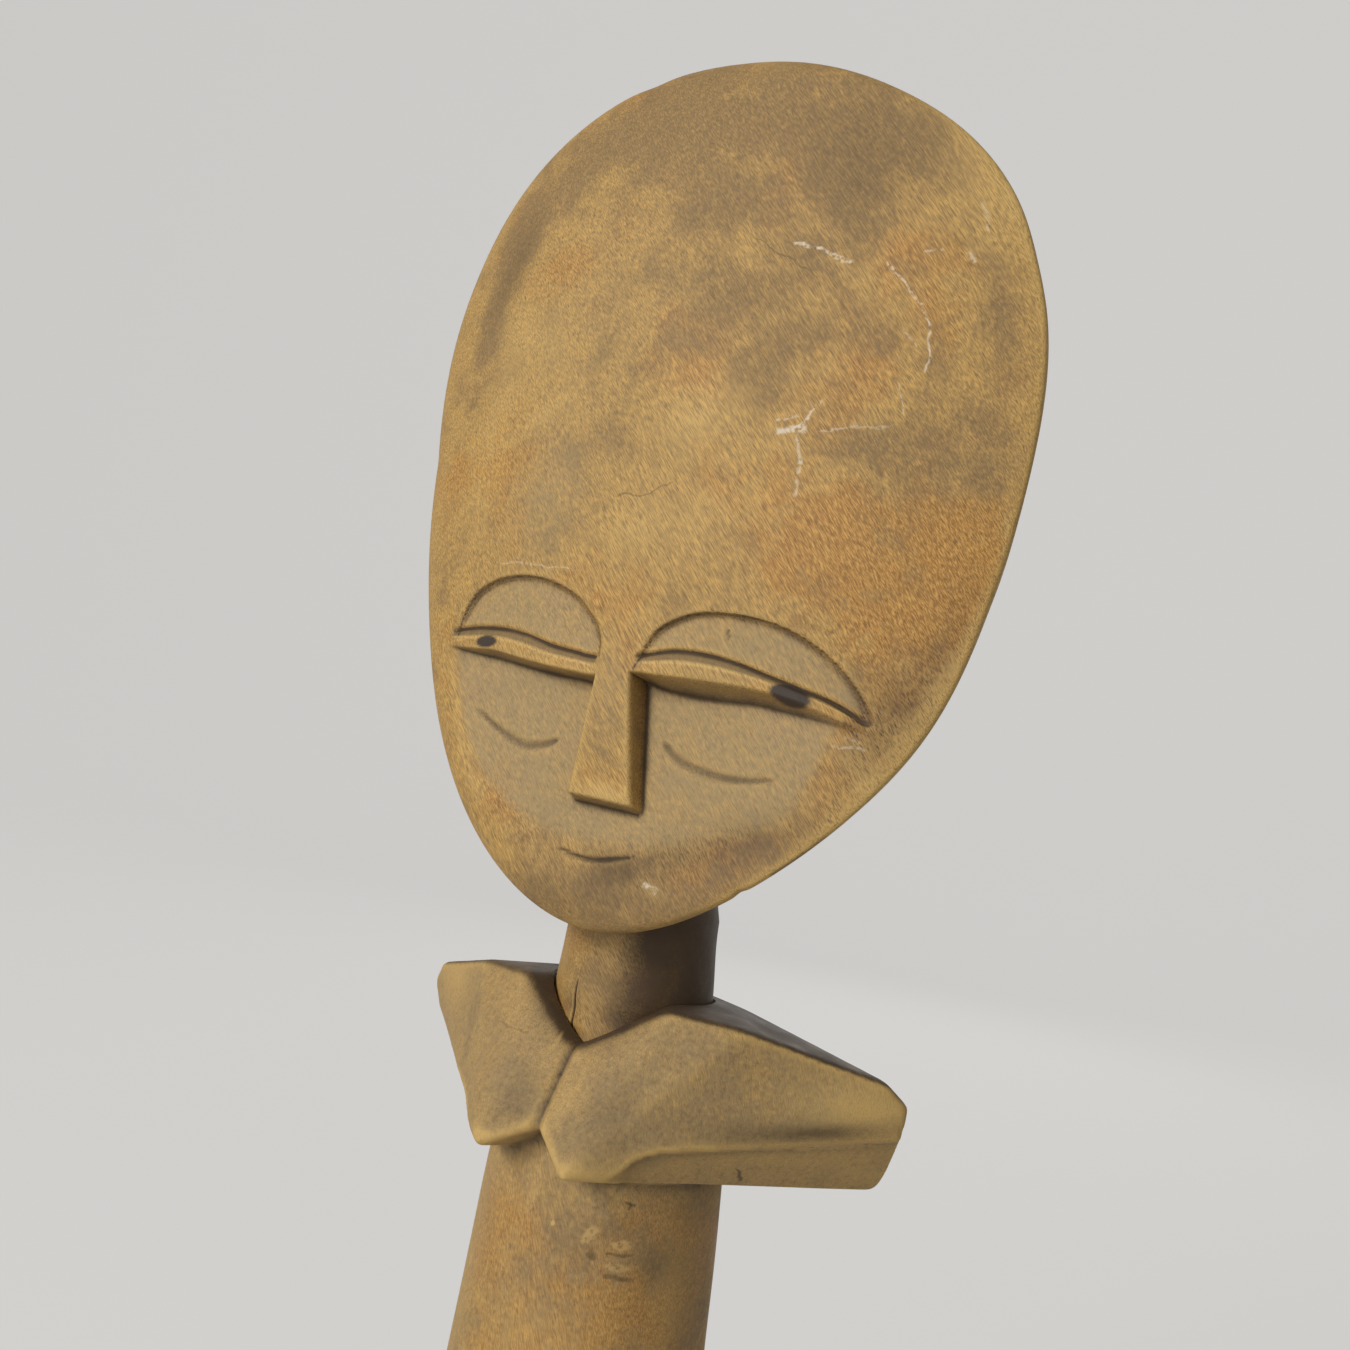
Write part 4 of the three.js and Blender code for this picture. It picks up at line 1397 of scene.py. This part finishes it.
def grime_and_shade_in_lines(x, z):
    """The dirt and painted shade in the carved lines, where a line was cut, and how far off the nearest
    one is.
    """
    reach = brow_reach(x, z) - 0.3
    up = z - line_at(LID_GROOVE, x)
    eyes = eye_span(x)
    brow = np.exp(-(reach / 0.6) ** 2) * step(53.5, 55.5, z) * (z < BROW_ROW)
    groove = np.exp(-(up / 0.5) ** 2) * eyes
    # dirt together with painted shadow along the brow steps, the lid grooves and the strokes
    dirt_and_shade = 0.2 * brow + 0.3 * groove
    cut = np.maximum(brow, groove)
    for _, width, darkness, points in STROKES.values():
        stroke = stroke_mask(x, z, points, width)
        dirt_and_shade = dirt_and_shade + stroke * darkness
        cut = np.maximum(cut, stroke)
    from_brow = np.abs(reach) / 0.25 + LINE_REACH * (1 - step(53, 55, z))
    from_groove = np.abs(up) / 0.28 + LINE_REACH * (1 - eyes)
    return dirt_and_shade, cut, np.minimum(from_brow, from_groove)


def lid_masks(x, z):
    """The upper half of the lids, the ridge along their middle, and the cut under them."""
    groove = line_at(LID_GROOVE, x)
    edge = line_at(LID_EDGE, x)
    foot = line_at(LID_FOOT, x)
    eyes = eye_span(x)
    down = (groove - z) / np.maximum(groove - edge, 0.5)
    lid = eyes * between(down, 0.0, 0.12, 0.9, 1.0)
    upper = lid * (1 - step(0.32, 0.46, down))
    ridge = lid * np.exp(-((down - 0.48) / 0.08) ** 2)
    under = eyes * step(foot - 0.3, foot + 0.4, z) * (1 - step(-0.5, 0.1, z - edge))
    return upper, ridge, under


def neck_marks(points):
    """The pale chip and the dark crack at the front of the neck."""
    x, y, z = points.T
    turn = np.arctan2(x, -y)
    below = 1 - step(204, 208, z)
    return chip_share(turn, z, 3.2, 2.0) * below, crack_share(turn, z) * below


def finish_head(mesh):
    points = coordinates(mesh) / MM
    normal = coordinates(mesh, "normal")
    x, y, z = doll_to_head(points).T
    fine = outstanding(mesh, 2)
    broad = outstanding(mesh, 8)
    front = step(0.1, 0.5, -normal[:, 1]) * step(-1, 1, z) * step(0, 2, 4.5 - y)
    lines, drawn, away = grime_and_shade_in_lines(x, z)
    # the cut under each lid gets painted shade
    upper_lid, ridge, shade_under_lid = lid_masks(x, z)
    chip, split = neck_marks(points)
    moon = step(0.5, 2.0, brow_reach(x, z)) * step(0.5, 1.5, z - line_at(LID_GROOVE, x))
    cheek = cheek_level(x, z) - face_level(x, z)
    cut = (1 - np.maximum(nose_share(x, z), lid_share(x, z))) * step(0.2, 1.4, cheek)
    cut = cut * step(-1.5, 3.0, z - line_at(CHIN_EDGE, x))
    ledge = np.exp(-((cheek - 0.1) / 0.35) ** 2) * between(z, 16, 26, 46, 51) * (x < 0)
    nape = step(6, 12, y)
    # painted shadow of the chin on the right side of the neck, with some grime
    chin_shadow_and_grime = nape * step(-12, 10, x) * (1 - step(10, 30, z))
    # paler low on the neck at negative x
    paler_low_neck_side = nape * (1 - step(-14, -4, x)) * (1 - step(-14, -2, z))
    # painted shade on the faces that look down under the nose
    shade_under_nose = step(0.3, 0.7, -normal[:, 2]) * (z > 20) * (z < 30)
    # painted shade on the right side of the nose
    shade_on_nose_side = step(0.35, 0.75, normal[:, 0]) * between(z, 27, 30, 52, 56) * (x > 0) * (x < 12)
    rim = (1 - step(0.0, 0.06, fullness(x, z))) * step(15, 35, x) * step(-0.3, 0.5, normal[:, 0])
    pupils = np.max([step(0.3, 0.5, ovals(x, z, [pupil])) for pupil in PUPILS], axis=0)

    dirt_and_shade = np.clip(lines * front, 0, 1) * 0.85
    dirt_and_shade += (np.clip(-fine * 5, 0, 0.7) + np.clip(-broad * 3, 0, 0.4)) * (1 - 0.7 * drawn * front)
    dirt_and_shade += (ovals(x, z, HEAD_GRIME) + 0.35 * upper_lid) * front
    # painted shade under the nose, under the lids and on the nose's right side, and painted shadow of the
    # chin with grime on the neck
    dirt_and_shade += (0.4 * shade_under_nose + 0.3 * shade_under_lid) * (y < 0) + 0.2 * shade_on_nose_side + 0.8 * split + chin_shadow_and_grime
    worn = (np.clip(fine * 4, 0, 0.7) + np.clip(broad * 2.5, 0, 0.4)) * (1 - 0.7 * step(25, 50, -x))
    worn += 0.35 * paler_low_neck_side + 0.6 * chip + 0.6 * rim
    worn += (ovals(x, z, HEAD_BARE) + 0.35 * ledge + ridge) * front
    grey = (0.95 * cut + 0.85 * moon + 0.5 * upper_lid + ovals(x, z, HEAD_PALE)) * front
    rubbed = ovals(x, z, HEAD_RUBBED) * front + 0.6 * nape + chip
    stain = (ovals(x, z, HEAD_STAINS) + 0.9 * upper_lid) * front + 0.35 * (1 - front)
    line = np.where(front > 0.2, away / LINE_REACH, 1.0)
    give(mesh, dark=dirt_and_shade, wear=worn, grey=grey, rub=rubbed, stain=stain, line=line, paint=pupils * front)


finish_head(head_mesh)
head_patches = (HEAD_STAINS, HEAD_GRIME, HEAD_PALE, HEAD_BARE, HEAD_RUBBED)
print("patches on the head:", sum(map(len, head_patches)))

# %% [markdown]
# Each piece becomes an object at the origin, shaded smooth, in its wood. It is handed to the body
# that it moves with, and stands for the solid of the same part.

# %% Pieces
def finished(name, mesh, wood, body, node):
    mesh.materials.clear()
    mesh.materials.append(wood)
    mesh.polygons.foreach_set("material_index", np.zeros(len(mesh.polygons), dtype=np.int32))
    mesh.polygons.foreach_set("use_smooth", np.ones(len(mesh.polygons), dtype=bool))
    mesh.update()
    piece = placed(name, mesh)
    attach(piece, body)
    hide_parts(node)
    mesh.calc_loop_triangles()
    print(name, "rides on", body, "with", len(mesh.loop_triangles), "triangles")


finished("carved_body", body_mesh, body_wood, "body", "body")
finished("carved_head", head_mesh, head_wood, "head", "head")
finished("whittled_peg", peg_mesh, peg_wood, "neck_peg", "neck_peg")

# %% [markdown]
# The camera stands close in front, a little to the doll's left and above the neck, and is tipped
# sideways. A point on the neck's axis lands at a known place in the square picture, so the camera
# is built by looking at that point and then turning so that it lands there.

# %% Camera
AZIMUTH = math.radians(28.174)
ELEVATION = math.radians(11.727)
ROLL = math.radians(8.963)
DISTANCE = 340.36
FOCAL = 1477.18
PICTURE = 1350.0
SENSOR = 36.0
LANDS_AT = (631.218, 1007.6)
LOOKED_AT = Vector((0.0, 0.0, BODY_HEIGHT))


def photo_camera():
    back = Vector((
        math.sin(AZIMUTH) * math.cos(ELEVATION),
        -math.cos(AZIMUTH) * math.cos(ELEVATION),
        math.sin(ELEVATION),
    ))
    right = Vector((math.cos(AZIMUTH), math.sin(AZIMUTH), 0.0))
    up = back.cross(right)
    right, up = (
        right * math.cos(ROLL) + up * math.sin(ROLL),
        up * math.cos(ROLL) - right * math.sin(ROLL),
    )
    basis = Matrix((right, up, back))
    half = PICTURE / 2
    landing = ((LANDS_AT[0] - half) / FOCAL, (half - LANDS_AT[1]) / FOCAL, -1.0)
    toward = Vector(landing).normalized()
    turn = Vector((0.0, 0.0, -1.0)).rotation_difference(toward).to_matrix()
    data = bpy.data.cameras.new("camera")
    data.sensor_width = SENSOR
    data.lens = FOCAL / PICTURE * data.sensor_width
    data.clip_start = 0.01
    camera = placed("camera", data)
    camera.matrix_world = (turn @ basis).transposed().to_4x4()
    camera.location = (LOOKED_AT + back * DISTANCE) * MM
    bpy.context.scene.camera = camera
    return camera, right, up, back


camera, view_right, view_up, view_back = photo_camera()
print("camera at, mm:", [round(c / MM, 1) for c in camera.location], "lens", round(camera.data.lens, 2))

# %% [markdown]
# A plain pale floor runs up into a pale wall behind. What the camera sees of them is mostly one
# even brightness, with enough of the lamps' own light left in it to keep the doll's shadow, and
# the surroundings look as pale. Soft lamps stand upper left and upper right, weak ones lower left
# and behind, and with a faint even light from all round they show a colour about as it is written.

# %% Floor and light
FLOOR_SEEN = (0.72, 0.71, 0.69, 1.0)
FLOOR_LIT = (0.7, 0.69, 0.67, 1.0)
FLOOR_EVEN = 0.8
FLOOR_SPAN = (-4.0, 4.0)
FLOOR_FRONT = -3.0
FLOOR_BACK = 1.2
BEND = 0.5
WALL_TOP = 3.0
ALL_ROUND = 0.09
WHITE = (1.0, 1.0, 1.0, 1.0)
LAMPS_AIM = Vector((0.0, -0.01, 0.25))
# each lamp stands right, up and back as the camera sees it; then distance and size in m, and power
LAMPS = {
    "key": ((-0.6, 0.45, 0.66), 1.7, 0.5, 13.4),
    "fill": ((0.35, 0.35, 0.85), 1.7, 0.7, 2.5),
    "behind": ((0.3, 0.4, -0.85), 1.2, 0.7, 2.5),
    "bounce": ((-0.55, -0.04, 0.8), 1.0, 0.36, 2.5),
}


def looked_at(maker):
    """1 for what the camera sees, straight or in a reflection, and 0 for light on its way."""
    path = maker.node("ShaderNodeLightPath", out=None)
    rays = ("Is Camera Ray", "Is Glossy Ray", "Is Transmission Ray")
    seen, glossy, through = (Value(maker, path.outputs[ray]) for ray in rays)
    return (seen + glossy + through).at_most(1.0)


def floor_finish():
    material = bpy.data.materials.new("pale_floor")
    maker = bare_tree(material)
    lit = maker.node("ShaderNodeBsdfDiffuse", None, {"Color": FLOOR_LIT})
    seen = maker.node("ShaderNodeEmission", None, {"Color": FLOOR_SEEN})
    sockets = {0: looked_at(maker) * FLOOR_EVEN, 1: lit, 2: seen}
    both = maker.node("ShaderNodeMixShader", None, sockets)
    maker.node("ShaderNodeOutputMaterial", None, {"Surface": both}, out=None)
    return material


def pale_floor():
    profile = [(FLOOR_FRONT, 0.0), (FLOOR_BACK, 0.0)]
    for turn in np.linspace(0.1, math.pi / 2, 12):
        profile.append((FLOOR_BACK + BEND * math.sin(turn), BEND - BEND * math.cos(turn)))
    profile.append((FLOOR_BACK + BEND, WALL_TOP))
    points = np.array([(x, y, z) for y, z in profile for x in FLOOR_SPAN])
    faces = [(2 * i, 2 * i + 1, 2 * i + 3, 2 * i + 2) for i in range(len(profile) - 1)]
    mesh = grid_mesh("pale_floor", points, faces)
    mesh.polygons.foreach_set("use_smooth", np.ones(len(faces), dtype=bool))
    mesh.materials.append(floor_finish())
    floor = placed("pale_floor", mesh)


def soft_lamp(name, place, distance, size, power):
    toward = view_right * place[0] + view_up * place[1] + view_back * place[2]
    data = bpy.data.lights.new(name, "AREA")
    data.size = size
    data.energy = power
    lamp = placed(name, data)
    lamp.location = LAMPS_AIM + toward.normalized() * distance
    lamp.rotation_euler = toward.to_track_quat("Z", "Y").to_euler()
    lamp.visible_camera = False


def surroundings():
    world = bpy.data.worlds.new("even light")
    maker = bare_tree(world)
    even = maker.node("ShaderNodeBackground", None, {"Color": WHITE, "Strength": ALL_ROUND})
    seen = maker.node("ShaderNodeBackground", None, {"Color": FLOOR_SEEN, "Strength": 1.0})
    both = maker.node("ShaderNodeMixShader", None, {0: looked_at(maker), 1: even, 2: seen})
    maker.node("ShaderNodeOutputWorld", None, {"Surface": both}, out=None)
    return world


pale_floor()
for name, lamp in LAMPS.items():
    soft_lamp(name, *lamp)
bpy.context.scene.world = surroundings()
bpy.context.scene.view_settings.view_transform = "Standard"
